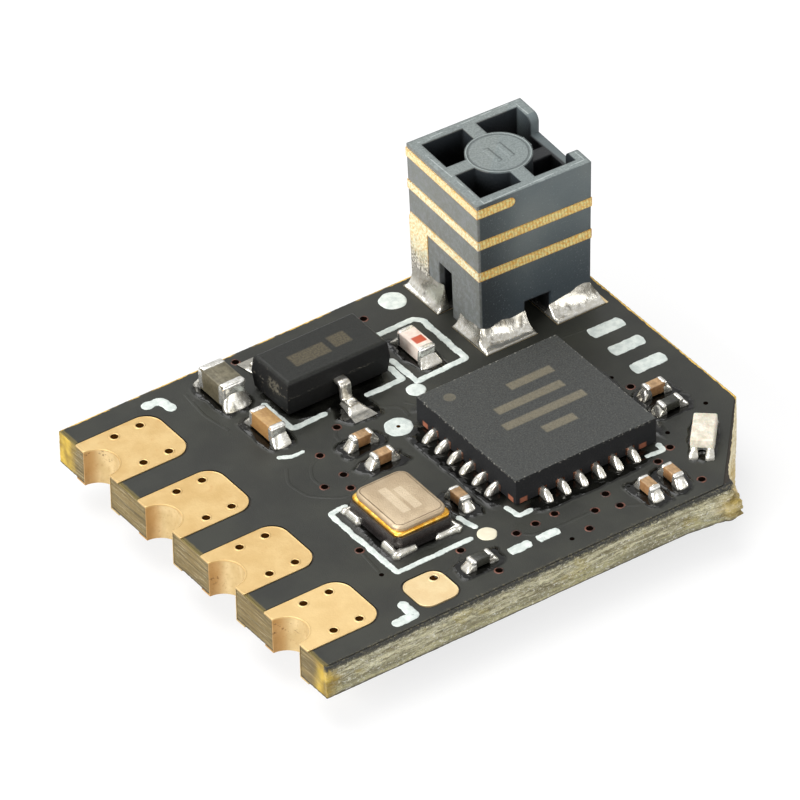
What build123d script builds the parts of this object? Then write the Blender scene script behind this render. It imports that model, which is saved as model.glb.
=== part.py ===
from build123d import *
import os
from math import atan2, cos, degrees, radians, sin

os.makedirs("parts", exist_ok=True)

# A tiny radio receiver module, in millimetres.
# A black circuit board with half-round plated notches along one edge carries a radio chip, a regulator, a
# crystal and a moulded tower antenna on top, and its microcontroller on the underside.
# The origin is the centre of the microcontroller's flat face, on which the module rests.
# X runs from the notched edge to the end with the cut corner, Y from the snapped edge to the back edge, Z up.
# A part's place is given as shares of the board's length and width, from its left and front edges.

# Circuit board: glass laminate with solder mask on both faces
board_length = 13.5
board_width = 11.0
laminate_thickness = 0.90
mask_thickness = 0.03
mask_setback = 0.05
corner_cut_length = 2.24
corner_cut_width = 2.60
land_thickness = 0.04
mask_relief = 0.05

# Plated notches and their edge pads
notch_count = 4
notch_pitch = 2.59
notch_radius = 0.54
plating_thickness = 0.02
edge_pad_length = 2.12
edge_pad_width = 1.76
edge_pad_corner = 0.45
via_radius = 0.11
via_side_count = 8
pad_via_setback = 1.27
pad_via_spacing_x = 0.715
pad_via_spacing_y = 1.22

# Torn stub left where the board was snapped off its panel: outline from the start of the corner cut,
# and for each of its two layers the share of that outline and the height
stub_outline = (
    (-1.10, 0.10),
    (-0.55, -0.10),
    (0.10, -0.16),
    (0.36, -0.22),
    (0.48, 0.17),
    (0.62, 0.50),
    (0.90, 0.86),
    (0.30, 0.60),
)
stub_layers = ((1.0, 0.42), (0.45, 0.87))

# Test pad
test_pad_share = (0.2644, 0.0845)
test_pad_length = 1.08
test_pad_width = 1.10
test_pad_corner = 0.30
test_via_offset = 0.28

# Components stand a little off the mask on their solder
joint_gap = 0.04
solder_slope = 38
cup_wall = 0.02

# Radio chip and microcontroller: flat square packages with leads along all four sides
lead_pitch = 0.50
lead_width = 0.25
lead_length = 0.40
lead_thickness = 0.20
lead_toe = 0.27
radio_side = 4.0
radio_height = 0.70
radio_leads_per_side = 6
radio_pad_side = 2.6
radio_place = (0.6607, 0.3864)
controller_side = 5.0
controller_height = 0.85
controller_leads_per_side = 8
controller_pad_side = 3.5

# Regulator: three gull-wing leads
regulator_length = 2.92
regulator_width = 1.50
regulator_height = 0.97
regulator_draft = 6
regulator_stand = 0.07
regulator_lead_pitch = 0.95
regulator_edge = 0.10
regulator_lead_width = 0.32
regulator_lead_thickness = 0.12
regulator_lead_knee = 0.20
regulator_lead_slope = 0.05
regulator_lead_reach = 0.62
regulator_solder_length = 0.83
regulator_solder_width = 0.64
regulator_solder_setback = 0.28
regulator_solder_height = 0.20
regulator_solder_slope = 50
regulator_place = (0.4459, 0.8073)

# Crystals: ceramic tray, gold seal ring and metal lid
crystal_width = 1.64
crystal_length = 2.04
crystal_tray_height = 0.42
crystal_ring_height = 0.09
crystal_lid_height = 0.15
crystal_ring_inset = 0.07
crystal_lid_inset = 0.12
crystal_corner = 0.14
crystal_pad_length = 0.62
crystal_pad_toe = 0.14
radio_crystal_place = (0.3296, 0.3064)
controller_crystal_place = (0.8296, 0.5)

# Tower antenna: a moulded block with a drafted outside, cored pockets and a plated helix
tower_length = 3.19
tower_width = 3.07
tower_height = 4.04
tower_draft = 0.06
tower_turn = -2.5
tower_wall = 0.255
tower_rib = 0.37
tower_boss_radius = 0.81
tower_pocket_depth = 2.30
tower_notch_depth = 0.50
tower_notch_near = 0.82
tower_notch_far = 0.72
tower_notch_shoulder = 0.20
side_door_width = 0.55
side_door_height = 1.30
front_door_width = 0.76
front_door_height = 0.70
front_door_offset = 0.07
band_height = 0.25
band_pitch = 0.93
band_from_top = 0.24
band_count = 3
band_tail = 1.05
band_plating = 0.02
feed_leg_width = 0.80

# The four lands that the tower is soldered to
tower_land_length = 1.47
tower_land_width = 1.43
tower_land_gap = 0.58
tower_lands_place = (0.8474, 0.8218)
tower_shift_x = 0.02
tower_shift_y = 0.19
tower_solder_height = 0.42
tower_solder_slope = 42

# Two-terminal parts: length, width, height and the length of each metal end
SMALL = (0.58, 0.30, 0.30, 0.14)
SMALL_FLAT = (0.62, 0.30, 0.24, 0.15)
SUPPLY = (1.08, 0.67, 0.60, 0.24)
INPUT = (0.98, 0.44, 0.45, 0.20)
FILTER = (1.00, 0.47, 0.42, 0.18)
chip_solder_toe = 0.15
chip_solder_rise = 0.6

# Two-terminal parts on top: place, turn and size
TOP_CHIPS = {
    "supply_capacitor": (0.2859, 0.8936, 90, SUPPLY),
    "input_capacitor": (0.2874, 0.7255, 90, INPUT),
    "antenna_filter": (0.6244, 0.7673, 90, FILTER),
    "capacitor_1": (0.3978, 0.5736, 0, SMALL),
    "capacitor_2": (0.3993, 0.4973, 0, SMALL),
    "capacitor_3": (0.4400, 0.2855, 90, SMALL),
    "capacitor_4": (0.8881, 0.3455, 0, SMALL),
    "capacitor_5": (0.7711, 0.0818, 90, SMALL),
    "capacitor_6": (0.7178, 0.0764, 90, SMALL),
    "resistor_1": (0.8852, 0.2845, 0, SMALL_FLAT),
    "resistor_2": (0.3704, 0.0909, 0, SMALL_FLAT),
}

# Like capacitors beside the microcontroller: place and turn
UNDERSIDE_CAPACITORS = ((0.2444, 0.8364, 90), (0.7852, 0.8182, 0))

# Indicator lamp: a lens over a thin base whose metal ends are hollowed
lamp_length = 1.05
lamp_width = 0.56
lamp_height = 0.37
lamp_base_height = 0.13
lamp_end = 0.16
lamp_hollow = 0.11
lamp_solder_toe = 0.24
lamp_place = (0.8800, 0.1527)

# Print on the mask: strokes as runs of places, dots as places with a radius, and plain bars
print_thickness = 0.02
print_stroke = 0.15
corner_stroke = 0.21
PRINT_STROKES = (
    ((0.2822, 0.4200), (0.2430, 0.4155), (0.2444, 0.1709), (0.4030, 0.1718)),
    ((0.4133, 0.2509), (0.4237, 0.1927)),
    ((0.3259, 0.8173), (0.3274, 0.7055), (0.4022, 0.7064)),
    ((0.4807, 0.7064), (0.5607, 0.7073), (0.5630, 0.7618)),
    ((0.5889, 0.8664), (0.6741, 0.8673), (0.6867, 0.8509), (0.6844, 0.6873), (0.5778, 0.6818), (0.5763, 0.7818)),
    ((0.4970, 0.2182), (0.5007, 0.1773), (0.5319, 0.1755)),
    ((0.7689, 0.1791), (0.8074, 0.1755), (0.8096, 0.2027)),
    ((0.2593, 0.6418), (0.2815, 0.6273), (0.3074, 0.6273)),
)
CORNER_STROKES = (
    ((0.1511, 0.9564), (0.1881, 0.9536), (0.1948, 0.9073)),
    ((0.2015, 0.0864), (0.2015, 0.0327), (0.1556, 0.0327)),
)
PRINT_DOTS = ((0.6763, 0.9473, 0.34), (0.5630, 0.6600, 0.24), (0.4778, 0.5764, 0.35), (0.4281, 0.1655, 0.24))
side_bar_length = 1.00
side_bar_width = 0.42
side_bar_pitch = 0.85
side_bars_place = (0.9311, 0.5182)
side_bar_count = 3
front_bar_length = 0.62
front_bar_width = 0.26
front_bar_pitch = 0.80
front_bars_place = (0.4815, 0.0864)
front_bar_count = 2

# Edges and levels that follow from the sizes above
left_edge = -board_length / 2
right_edge = board_length / 2
front_edge = -board_width / 2
back_edge = board_width / 2
underside = controller_height + joint_gap
laminate_bottom = underside + mask_thickness
laminate_top = laminate_bottom + laminate_thickness
topside = laminate_top + mask_thickness
land_top = laminate_top + land_thickness
corner_cut_angle = degrees(atan2(corner_cut_width, corner_cut_length))
notch_ys = [(i - (notch_count - 1) / 2) * notch_pitch for i in range(notch_count)]
pad_centre_x = left_edge + edge_pad_length / 2
land_spacing_x = tower_land_length + tower_land_gap
land_spacing_y = tower_land_width + tower_land_gap


def board_spot(share_x, share_y):
    """The point of the board that lies at these shares of its length and width."""
    return (left_edge + share_x * board_length, front_edge + share_y * board_width)


def on_top(share_x, share_y, turn=0):
    """The plane on the upper mask at a place of the board, turned by an angle."""
    direction = (cos(radians(turn)), sin(radians(turn)), 0)
    return Plane(origin=(*board_spot(share_x, share_y), topside), x_dir=direction, z_dir=(0, 0, 1))


def under(share_x, share_y, turn=0):
    """The plane on the lower mask, facing down, at a place of the board, turned by an angle."""
    direction = (cos(radians(turn)), sin(radians(turn)), 0)
    return Plane(origin=(*board_spot(share_x, share_y), underside), x_dir=direction, z_dir=(0, 0, -1))


def save(builder, name):
    """Labels a finished piece and writes it."""
    builder.part.label = name
    export_step(builder.part, f"parts/{name}.step")


with BuildSketch() as board_outline:
    with BuildLine():
        Polyline(
            (left_edge, front_edge),
            (right_edge - corner_cut_length, front_edge),
            (right_edge, front_edge + corner_cut_width),
            (right_edge, back_edge),
            (left_edge, back_edge),
            close=True,
        )
    make_face()


lands_x, lands_y = board_spot(*tower_lands_place)
test_pad_place = board_spot(*test_pad_share)
test_via_place = (test_pad_place[0] + test_via_offset, test_pad_place[1] + test_via_offset)

# Circuit board: laminate with the notches and the torn stub of the panel's tab
stub_corner = (right_edge - corner_cut_length, front_edge)
with BuildPart() as circuit_board:
    with BuildSketch(Plane.XY.offset(laminate_bottom)):
        add(board_outline.sketch)
    extrude(amount=laminate_thickness)
    for share, top in stub_layers:
        with BuildSketch(Plane.XY.offset(laminate_bottom)):
            with BuildLine():
                Polyline(
                    *[(stub_corner[0] + share * x, stub_corner[1] + share * y) for x, y in stub_outline],
                    close=True,
                )
            make_face()
        extrude(amount=top)
    with BuildSketch(Plane.XY.offset(laminate_bottom)):
        with Locations(*[(left_edge, y) for y in notch_ys]):
            Circle(notch_radius + plating_thickness)
    extrude(amount=laminate_thickness, mode=Mode.SUBTRACT)
save(circuit_board, "circuit_board")


def pad_openings():
    """Cuts the openings round the edge pads out of the mask sketch that is open."""
    width = edge_pad_width + 2 * mask_relief
    length = edge_pad_length + mask_relief
    with Locations(*[(left_edge + length / 2 - edge_pad_corner, y) for y in notch_ys]):
        RectangleRounded(length + 2 * edge_pad_corner, width, edge_pad_corner, mode=Mode.SUBTRACT)


# Solder mask: a thin coat set back from the cut edges and open round every bare land
with BuildPart() as solder_mask_top:
    with BuildSketch(Plane.XY.offset(laminate_top)):
        add(board_outline.sketch)
        offset(amount=-mask_setback)
        pad_openings()
        with Locations(test_pad_place):
            RectangleRounded(
                test_pad_length + 2 * mask_relief,
                test_pad_width + 2 * mask_relief,
                test_pad_corner + mask_relief,
                mode=Mode.SUBTRACT,
            )
        with Locations((lands_x, lands_y)):
            with GridLocations(land_spacing_x, land_spacing_y, 2, 2):
                Rectangle(tower_land_length, tower_land_width, mode=Mode.SUBTRACT)
    extrude(amount=mask_thickness)
save(solder_mask_top, "solder_mask_top")

with BuildPart() as solder_mask_bottom:
    with BuildSketch(Plane.XY.offset(underside)):
        add(board_outline.sketch)
        offset(amount=-mask_setback)
        pad_openings()
    extrude(amount=mask_thickness)
save(solder_mask_bottom, "solder_mask_bottom")

# Edge pads: a land on each face, joined round the notch by the plating of its half barrel
for number, notch_y in enumerate(notch_ys, start=1):
    with BuildPart() as edge_pad:
        with BuildSketch(Plane.XY.offset(laminate_bottom - land_thickness)) as land:
            with Locations((pad_centre_x, notch_y)):
                Rectangle(edge_pad_length, edge_pad_width)
            fillet(land.vertices().group_by(Axis.X)[-1], radius=edge_pad_corner)
            with Locations((left_edge, notch_y)):
                Circle(notch_radius, mode=Mode.SUBTRACT)
        extrude(amount=laminate_thickness + 2 * land_thickness)
        with BuildSketch(Plane.XY.offset(laminate_bottom)):
            with Locations((pad_centre_x, notch_y)):
                Rectangle(edge_pad_length, edge_pad_width)
            with Locations((left_edge, notch_y)):
                Circle(notch_radius + plating_thickness, mode=Mode.SUBTRACT)
        extrude(amount=laminate_thickness, mode=Mode.SUBTRACT)
        with BuildSketch(Plane.XY.offset(laminate_top)):
            with Locations((left_edge + pad_via_setback, notch_y)):
                with GridLocations(pad_via_spacing_x, pad_via_spacing_y, 2, 2):
                    RegularPolygon(via_radius, via_side_count)
        extrude(amount=land_thickness, mode=Mode.SUBTRACT)
    save(edge_pad, f"edge_pad_{number}")

# Test pad: a rounded land with one via
with BuildPart() as test_pad:
    with BuildSketch(Plane.XY.offset(laminate_top)):
        with Locations(test_pad_place):
            RectangleRounded(test_pad_length, test_pad_width, test_pad_corner)
        with Locations(test_via_place):
            RegularPolygon(via_radius, via_side_count, mode=Mode.SUBTRACT)
    extrude(amount=land_thickness)
save(test_pad, "test_pad")


def flat_package(name, seat, side, height, leads_per_side, pad_side):
    """A flat leadless package: moulded body, lead frame let into its bottom edge, and its solder."""
    row = side / 2 - lead_length / 2
    turns = [Location((0, 0, 0), (0, 0, 90 * i)) for i in range(4)]

    with BuildPart() as frame:
        with BuildSketch(seat.offset(joint_gap)):
            for turn in turns:
                with Locations(turn):
                    with Locations((row, 0)):
                        with GridLocations(0, lead_pitch, 1, leads_per_side):
                            Rectangle(lead_length, lead_width)
        extrude(amount=lead_thickness)
        with BuildSketch(seat.offset(joint_gap)):
            Rectangle(pad_side, pad_side)
        extrude(amount=lead_thickness / 2)

    with BuildPart() as body:
        with BuildSketch(seat.offset(joint_gap)):
            Rectangle(side, side)
        extrude(amount=height)
        add(frame.part, mode=Mode.SUBTRACT)

    with BuildPart() as solder:
        with BuildSketch(seat):
            for turn in turns:
                with Locations(turn):
                    with Locations((row + lead_toe / 2, 0)):
                        with GridLocations(0, lead_pitch, 1, leads_per_side):
                            Rectangle(lead_length + lead_toe, lead_width)
        extrude(amount=lead_thickness, taper=solder_slope / 2)
        with BuildSketch(seat.offset(joint_gap)):
            Rectangle(side, side)
        extrude(amount=height, mode=Mode.SUBTRACT)

    save(body, f"{name}_body")
    save(frame, f"{name}_leads")
    save(solder, f"{name}_solder")


flat_package(
    "radio",
    on_top(*radio_place),
    radio_side,
    radio_height,
    radio_leads_per_side,
    radio_pad_side,
)
flat_package(
    "controller",
    under(0.5, 0.5),
    controller_side,
    controller_height,
    controller_leads_per_side,
    controller_pad_side,
)

# Regulator: a drafted body split at the height of its three gull-wing leads
regulator_seat = on_top(*regulator_place)
regulator_middle = regulator_stand + (regulator_height - regulator_stand) / 2
lead_feet = [(0, -1), (-regulator_lead_pitch, 1), (regulator_lead_pitch, 1)]

with BuildPart() as regulator_leads:
    for foot_x, way in lead_feet:
        lead_plane = Plane(
            origin=regulator_seat.from_local_coords((foot_x, 0, 0)),
            x_dir=(0, way, 0),
            z_dir=(way, 0, 0),
        )
        root = regulator_width / 2
        rest = joint_gap + regulator_lead_thickness / 2
        with BuildSketch(lead_plane):
            with BuildLine() as lead_path:
                Polyline(
                    (root - regulator_lead_knee, regulator_middle),
                    (root + regulator_lead_knee, regulator_middle),
                    (root + regulator_lead_knee + regulator_lead_slope, rest),
                    (root + regulator_lead_reach, rest),
                )
            trace(lead_path.edges(), regulator_lead_thickness)
        extrude(amount=regulator_lead_width / 2, both=True)

with BuildPart() as regulator_body:
    with BuildSketch(regulator_seat.offset(regulator_middle)):
        Rectangle(regulator_length, regulator_width)
    extrude(amount=regulator_height - regulator_middle, taper=regulator_draft)
    fillet(regulator_body.faces().sort_by(Axis.Z)[-1].edges(), radius=regulator_edge)
    with BuildSketch(regulator_seat.offset(regulator_middle)):
        Rectangle(regulator_length, regulator_width)
    extrude(amount=regulator_stand - regulator_middle, taper=regulator_draft)
    add(regulator_leads.part, mode=Mode.SUBTRACT)
save(regulator_body, "regulator_body")
save(regulator_leads, "regulator_leads")

with BuildPart() as regulator_solder:
    for foot_x, way in lead_feet:
        foot_y = way * (regulator_width / 2 + regulator_solder_setback + regulator_solder_length / 2)
        with BuildSketch(regulator_seat):
            with Locations((foot_x, foot_y)):
                Rectangle(regulator_solder_width, regulator_solder_length)
        extrude(amount=regulator_solder_height, taper=regulator_solder_slope)
    add(regulator_leads.part, mode=Mode.SUBTRACT)
save(regulator_solder, "regulator_solder")


def crystal(name, seat):
    """A sealed crystal: ceramic tray with hollowed corners, gold seal ring, lid and four solder corners."""
    with BuildPart() as tray:
        with BuildSketch(seat.offset(joint_gap)):
            Rectangle(crystal_width, crystal_length)
            with GridLocations(crystal_width, crystal_length, 2, 2):
                Circle(crystal_corner, mode=Mode.SUBTRACT)
        extrude(amount=crystal_tray_height)

    with BuildPart() as ring:
        with BuildSketch(seat.offset(joint_gap + crystal_tray_height)):
            RectangleRounded(
                crystal_width - 2 * crystal_ring_inset,
                crystal_length - 2 * crystal_ring_inset,
                crystal_corner,
            )
        extrude(amount=crystal_ring_height)

    with BuildPart() as lid:
        with BuildSketch(seat.offset(joint_gap + crystal_tray_height + crystal_ring_height)):
            RectangleRounded(
                crystal_width - 2 * crystal_lid_inset,
                crystal_length - 2 * crystal_lid_inset,
                crystal_corner,
            )
        extrude(amount=crystal_lid_height)

    with BuildPart() as solder:
        with BuildSketch(seat):
            reach = crystal_pad_toe * 2
            with GridLocations(
                crystal_width + reach - crystal_pad_length,
                crystal_length + reach - crystal_pad_length,
                2,
                2,
            ):
                Rectangle(crystal_pad_length, crystal_pad_length)
        extrude(amount=joint_gap + crystal_tray_height / 3, taper=solder_slope)
        with BuildSketch(seat.offset(joint_gap)):
            Rectangle(crystal_width, crystal_length)
        extrude(amount=crystal_tray_height, mode=Mode.SUBTRACT)

    save(tray, f"{name}_tray")
    save(ring, f"{name}_seal_ring")
    save(lid, f"{name}_lid")
    save(solder, f"{name}_solder")


crystal("radio_crystal", on_top(*radio_crystal_place))
crystal("controller_crystal", under(*controller_crystal_place))

# Tower lands: four gold squares that the tower's feet stand on
with BuildPart() as antenna_lands:
    with BuildSketch(Plane.XY.offset(laminate_top)):
        with Locations((lands_x, lands_y)):
            with GridLocations(land_spacing_x, land_spacing_y, 2, 2):
                Rectangle(tower_land_length, tower_land_width)
    extrude(amount=land_thickness)
save(antenna_lands, "antenna_lands")

# Tower antenna: drafted block, four deep pockets round a boss, a lowered wall and a door in each foot side
tower_seat = Plane(
    origin=(lands_x + tower_shift_x, lands_y + tower_shift_y, land_top),
    x_dir=(cos(radians(tower_turn)), sin(radians(tower_turn)), 0),
    z_dir=(0, 0, 1),
)
foot_length = tower_length - 2 * tower_draft
foot_width = tower_width - 2 * tower_draft
tower_rim = tower_seat.offset(tower_height)
pocket_length = (tower_length - tower_rib) / 2 - tower_wall
pocket_width = (tower_width - tower_rib) / 2 - tower_wall

with BuildPart() as antenna_body:
    with BuildSketch(tower_seat):
        Rectangle(foot_length, foot_width)
    with BuildSketch(tower_rim):
        Rectangle(tower_length, tower_width)
    loft()
    with BuildSketch(tower_rim):
        with GridLocations(tower_rib + pocket_length, tower_rib + pocket_width, 2, 2):
            Rectangle(pocket_length, pocket_width)
        Circle(tower_boss_radius, mode=Mode.SUBTRACT)
    extrude(amount=-tower_pocket_depth, mode=Mode.SUBTRACT)
    notch_face = Plane(
        origin=tower_rim.from_local_coords((tower_boss_radius, 0, 0)),
        x_dir=tower_seat.y_dir,
        z_dir=tower_seat.x_dir,
    )
    with BuildSketch(notch_face) as notch:
        with BuildLine():
            near = -tower_notch_near
            far = tower_notch_far
            shoulder = tower_notch_shoulder
            Line((near - shoulder, shoulder), (near - shoulder, 0))
            JernArc((near - shoulder, 0), (1, 0), shoulder, -90)
            Polyline(
                (near, -shoulder),
                (near, -tower_notch_depth),
                (far, -tower_notch_depth),
                (far, -shoulder),
            )
            JernArc((far, -shoulder), (0, 1), shoulder, -90)
            Polyline((far + shoulder, 0), (far + shoulder, shoulder), (near - shoulder, shoulder))
        make_face()
    extrude(amount=tower_length, mode=Mode.SUBTRACT)
    with BuildSketch(tower_seat):
        Rectangle(2 * tower_length, side_door_width)
    extrude(amount=side_door_height, mode=Mode.SUBTRACT)
    with BuildSketch(tower_seat):
        with Locations((front_door_offset, 0)):
            Rectangle(front_door_width, 2 * tower_width)
    extrude(amount=front_door_height, mode=Mode.SUBTRACT)
save(antenna_body, "antenna_body")

# Helix plated on the tower: up a foot, round three sides level, stepping up the fourth, to a high tail
with BuildPart() as tower_block:
    with BuildSketch(tower_seat):
        Rectangle(foot_length, foot_width)
    with BuildSketch(tower_rim):
        Rectangle(tower_length, tower_width)
    loft()

band_levels = [tower_height - band_from_top - i * band_pitch for i in range(band_count)]
band_run = tower_length + 2 * band_plating
side_plane = Plane(origin=tower_seat.origin, x_dir=tower_seat.x_dir, z_dir=-tower_seat.y_dir)

with BuildPart() as band_shapes:
    for level in band_levels[1:]:
        with BuildSketch(tower_seat.offset(level - band_height / 2)):
            with Locations((0, foot_width / 2)):
                Rectangle(2 * tower_length, 2 * tower_width, align=(Align.CENTER, Align.MAX))
        extrude(amount=band_height)
    with BuildSketch(tower_seat.offset(band_levels[0] - band_height / 2)):
        with Locations((-foot_length / 2, foot_width / 2)):
            Rectangle(tower_length, 2 * tower_width, align=(Align.MAX, Align.MAX))
    extrude(amount=band_height)
    with BuildSketch(side_plane):
        with Locations((-tower_length / 2 + (band_tail - band_height) / 2, band_levels[0])):
            SlotOverall(band_tail + band_height, band_height)
    extrude(amount=tower_width)
    for lower, upper in zip(band_levels[1:], band_levels[:-1]):
        with BuildSketch(side_plane.offset(-foot_width / 2)):
            with BuildLine() as step_path:
                Polyline(
                    (band_run / 2, lower),
                    (band_run / 2 - band_height, lower),
                    (-band_run / 2 + band_height, upper),
                    (-band_run / 2, upper),
                )
            trace(step_path.edges(), band_height)
        extrude(amount=-tower_wall)
    with BuildSketch(side_plane.offset(feed_leg_width - tower_width / 2)):
        with Locations((-tower_length / 2, band_levels[-1] / 2)):
            Rectangle(2 * tower_wall, band_levels[-1])
    extrude(amount=-feed_leg_width)

with BuildPart() as antenna_trace:
    with BuildSketch(tower_seat):
        Rectangle(foot_length + 2 * band_plating, foot_width + 2 * band_plating)
    with BuildSketch(tower_rim):
        Rectangle(tower_length + 2 * band_plating, tower_width + 2 * band_plating)
    loft()
    add(band_shapes.part, mode=Mode.INTERSECT)
    add(tower_block.part, mode=Mode.SUBTRACT)
save(antenna_trace, "antenna_trace")

# Solder round the tower's four feet, sloping from each land up the sides of the tower
with BuildPart() as antenna_solder:
    with BuildSketch(Plane.XY.offset(land_top)):
        with Locations((lands_x, lands_y)):
            with GridLocations(land_spacing_x, land_spacing_y, 2, 2):
                Rectangle(tower_land_length - land_thickness, tower_land_width - land_thickness)
    extrude(amount=tower_solder_height, taper=tower_solder_slope)
    add(tower_block.part, mode=Mode.SUBTRACT)
    add(antenna_trace.part, mode=Mode.SUBTRACT)
    with BuildSketch(tower_seat):
        with Locations((0, foot_width / 2)):
            Rectangle(2 * tower_length, tower_width, align=(Align.CENTER, Align.MIN))
    extrude(amount=tower_height, mode=Mode.SUBTRACT)
save(antenna_solder, "antenna_solder")


def end_chips(name, seats, sizes):
    """Like two-terminal parts, each a block between two metal cups. Gives back their solder joints."""
    length, width, height, end = sizes

    with BuildPart() as blocks:
        for seat in seats:
            with BuildSketch(seat.offset(joint_gap + cup_wall)):
                Rectangle(length - 2 * cup_wall, width - 2 * cup_wall)
            extrude(amount=height - 2 * cup_wall)

    with BuildPart() as cups:
        for seat in seats:
            with BuildSketch(seat.offset(joint_gap)):
                with GridLocations(length - end, 0, 2, 1):
                    Rectangle(end, width)
            extrude(amount=height)
        add(blocks.part, mode=Mode.SUBTRACT)

    with BuildPart() as joints:
        for seat in seats:
            with BuildSketch(seat):
                with GridLocations(length - end + chip_solder_toe, 0, 2, 1):
                    Rectangle(end + chip_solder_toe, width)
            extrude(amount=joint_gap + height * chip_solder_rise, taper=solder_slope / 2)
            with BuildSketch(seat.offset(joint_gap)):
                Rectangle(length, width)
            extrude(amount=height, mode=Mode.SUBTRACT)

    save(blocks, f"{name}_body")
    save(cups, f"{name}_ends")
    return joints.part


solder_joints = [
    end_chips(name, [on_top(*place)], sizes)
    for name, (*place, sizes) in TOP_CHIPS.items()
]
solder_joints.append(
    end_chips("underside_capacitors", [under(*place) for place in UNDERSIDE_CAPACITORS], SMALL)
)

# Indicator lamp beside the cut corner, turned parallel to the cut
lamp_seat = on_top(*lamp_place, corner_cut_angle)
with BuildPart() as indicator_lamp_ends:
    with BuildSketch(lamp_seat.offset(joint_gap)):
        with GridLocations(lamp_length - lamp_end, 0, 2, 1):
            Rectangle(lamp_end, lamp_width)
        with GridLocations(lamp_length, 0, 2, 1):
            Circle(lamp_hollow, mode=Mode.SUBTRACT)
    extrude(amount=lamp_base_height)
save(indicator_lamp_ends, "indicator_lamp_ends")

with BuildPart() as indicator_lamp_base:
    with BuildSketch(lamp_seat.offset(joint_gap)):
        Rectangle(lamp_length - 2 * lamp_end, lamp_width)
    extrude(amount=lamp_base_height)
save(indicator_lamp_base, "indicator_lamp_base")

with BuildPart() as indicator_lamp_lens:
    with BuildSketch(lamp_seat.offset(joint_gap + lamp_base_height)):
        Rectangle(lamp_length, lamp_width)
    extrude(amount=lamp_height - lamp_base_height)
save(indicator_lamp_lens, "indicator_lamp_lens")

# Solder of all the two-terminal parts, and two small joints at each end of the lamp
with BuildPart() as chip_solder:
    for joints in solder_joints:
        add(joints)
    with BuildSketch(lamp_seat):
        joint_width = lamp_width / 2 - lamp_hollow
        with GridLocations(lamp_length + lamp_solder_toe, lamp_width - joint_width, 2, 2):
            Rectangle(lamp_solder_toe, joint_width)
    extrude(amount=joint_gap + lamp_base_height, taper=solder_slope / 2)
save(chip_solder, "chip_solder")

# Print on the upper mask: frames of the parts, corner marks, dots and plain bars
print_level = Plane.XY.offset(topside)
with BuildPart() as silkscreen_top:
    for strokes, width in ((PRINT_STROKES, print_stroke), (CORNER_STROKES, corner_stroke)):
        for places in strokes:
            with BuildSketch(print_level):
                with BuildLine() as stroke_path:
                    Polyline(*[board_spot(*place) for place in places])
                trace(stroke_path.edges(), width)
            extrude(amount=print_thickness)
    with BuildSketch(print_level):
        for *place, dot_radius in PRINT_DOTS:
            with Locations(board_spot(*place)):
                Circle(dot_radius)
        with Locations(board_spot(*side_bars_place)):
            with GridLocations(0, side_bar_pitch, 1, side_bar_count):
                Rectangle(side_bar_length, side_bar_width)
        with Locations(board_spot(*front_bars_place)):
            with GridLocations(front_bar_pitch, 0, front_bar_count, 1):
                Rectangle(front_bar_length, front_bar_width)
    extrude(amount=print_thickness)
save(silkscreen_top, "silkscreen_top")
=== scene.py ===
import bmesh
import bpy
import numpy as np
from mathutils import Matrix


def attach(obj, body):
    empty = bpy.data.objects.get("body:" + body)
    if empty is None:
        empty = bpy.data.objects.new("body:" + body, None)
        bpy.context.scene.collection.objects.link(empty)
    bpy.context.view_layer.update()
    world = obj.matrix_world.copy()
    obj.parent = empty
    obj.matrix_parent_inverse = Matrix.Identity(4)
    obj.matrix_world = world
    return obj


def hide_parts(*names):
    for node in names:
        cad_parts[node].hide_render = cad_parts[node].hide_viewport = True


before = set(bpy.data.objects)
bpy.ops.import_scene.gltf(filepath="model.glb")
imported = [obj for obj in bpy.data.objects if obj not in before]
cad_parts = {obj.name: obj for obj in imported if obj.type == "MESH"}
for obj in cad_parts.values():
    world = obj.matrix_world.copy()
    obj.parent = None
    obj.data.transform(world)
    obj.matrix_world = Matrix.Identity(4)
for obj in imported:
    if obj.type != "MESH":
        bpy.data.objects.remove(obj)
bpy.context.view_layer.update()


# CIRCUIT BOARD: glass cloth pressed with epoxy, 0.9 mm thick. It was routed along the notched edge and the
# back, and snapped off its panel along the front, so the front shows torn layers of cloth and a stub stands
# out beside the cut corner.


class Wire:
    """A socket of a material's nodes. Operators on it add Math nodes, and node() adds any other node."""

    def __init__(self, tree, socket=None):
        self.tree = tree
        self.socket = socket

    def node(self, kind, settings=None, inputs=None, out=0):
        """Adds a node: first its settings, then a value or a link for each of its inputs."""
        made = self.tree.nodes.new(kind)
        for key, value in (settings or {}).items():
            setattr(made, key, value)
        for key, value in (inputs or {}).items():
            if isinstance(value, Wire):
                self.tree.links.new(value.socket, made.inputs[key])
            else:
                made.inputs[key].default_value = value
        return Wire(self.tree, made.outputs[out]) if made.outputs else None

    def math(self, operation, *terms):
        """Adds a Math node that works on the terms, which are values or links."""
        return self.node("ShaderNodeMath", {"operation": operation}, dict(enumerate(terms)))

    def __add__(self, other):
        return self.math("ADD", self, other)

    def __sub__(self, other):
        return self.math("SUBTRACT", self, other)

    def __rsub__(self, other):
        return self.math("SUBTRACT", other, self)

    def __mul__(self, other):
        return self.math("MULTIPLY", self, other)

    def __abs__(self):
        return self.math("ABSOLUTE", self)

    __radd__ = __add__
    __rmul__ = __mul__


def emptied(owner):
    """A wire into the nodes of a material or a world, which start with none."""
    owner.use_nodes = True
    owner.node_tree.nodes.clear()
    return Wire(owner.node_tree)


def start(name):
    """A new material, and its object coordinates in millimetres."""
    material = bpy.data.materials.new(name)
    metres = emptied(material).node("ShaderNodeTexCoord", out="Object")
    return material, metres.node("ShaderNodeVectorMath", {"operation": "SCALE"}, {0: metres, "Scale": 1000})


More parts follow.
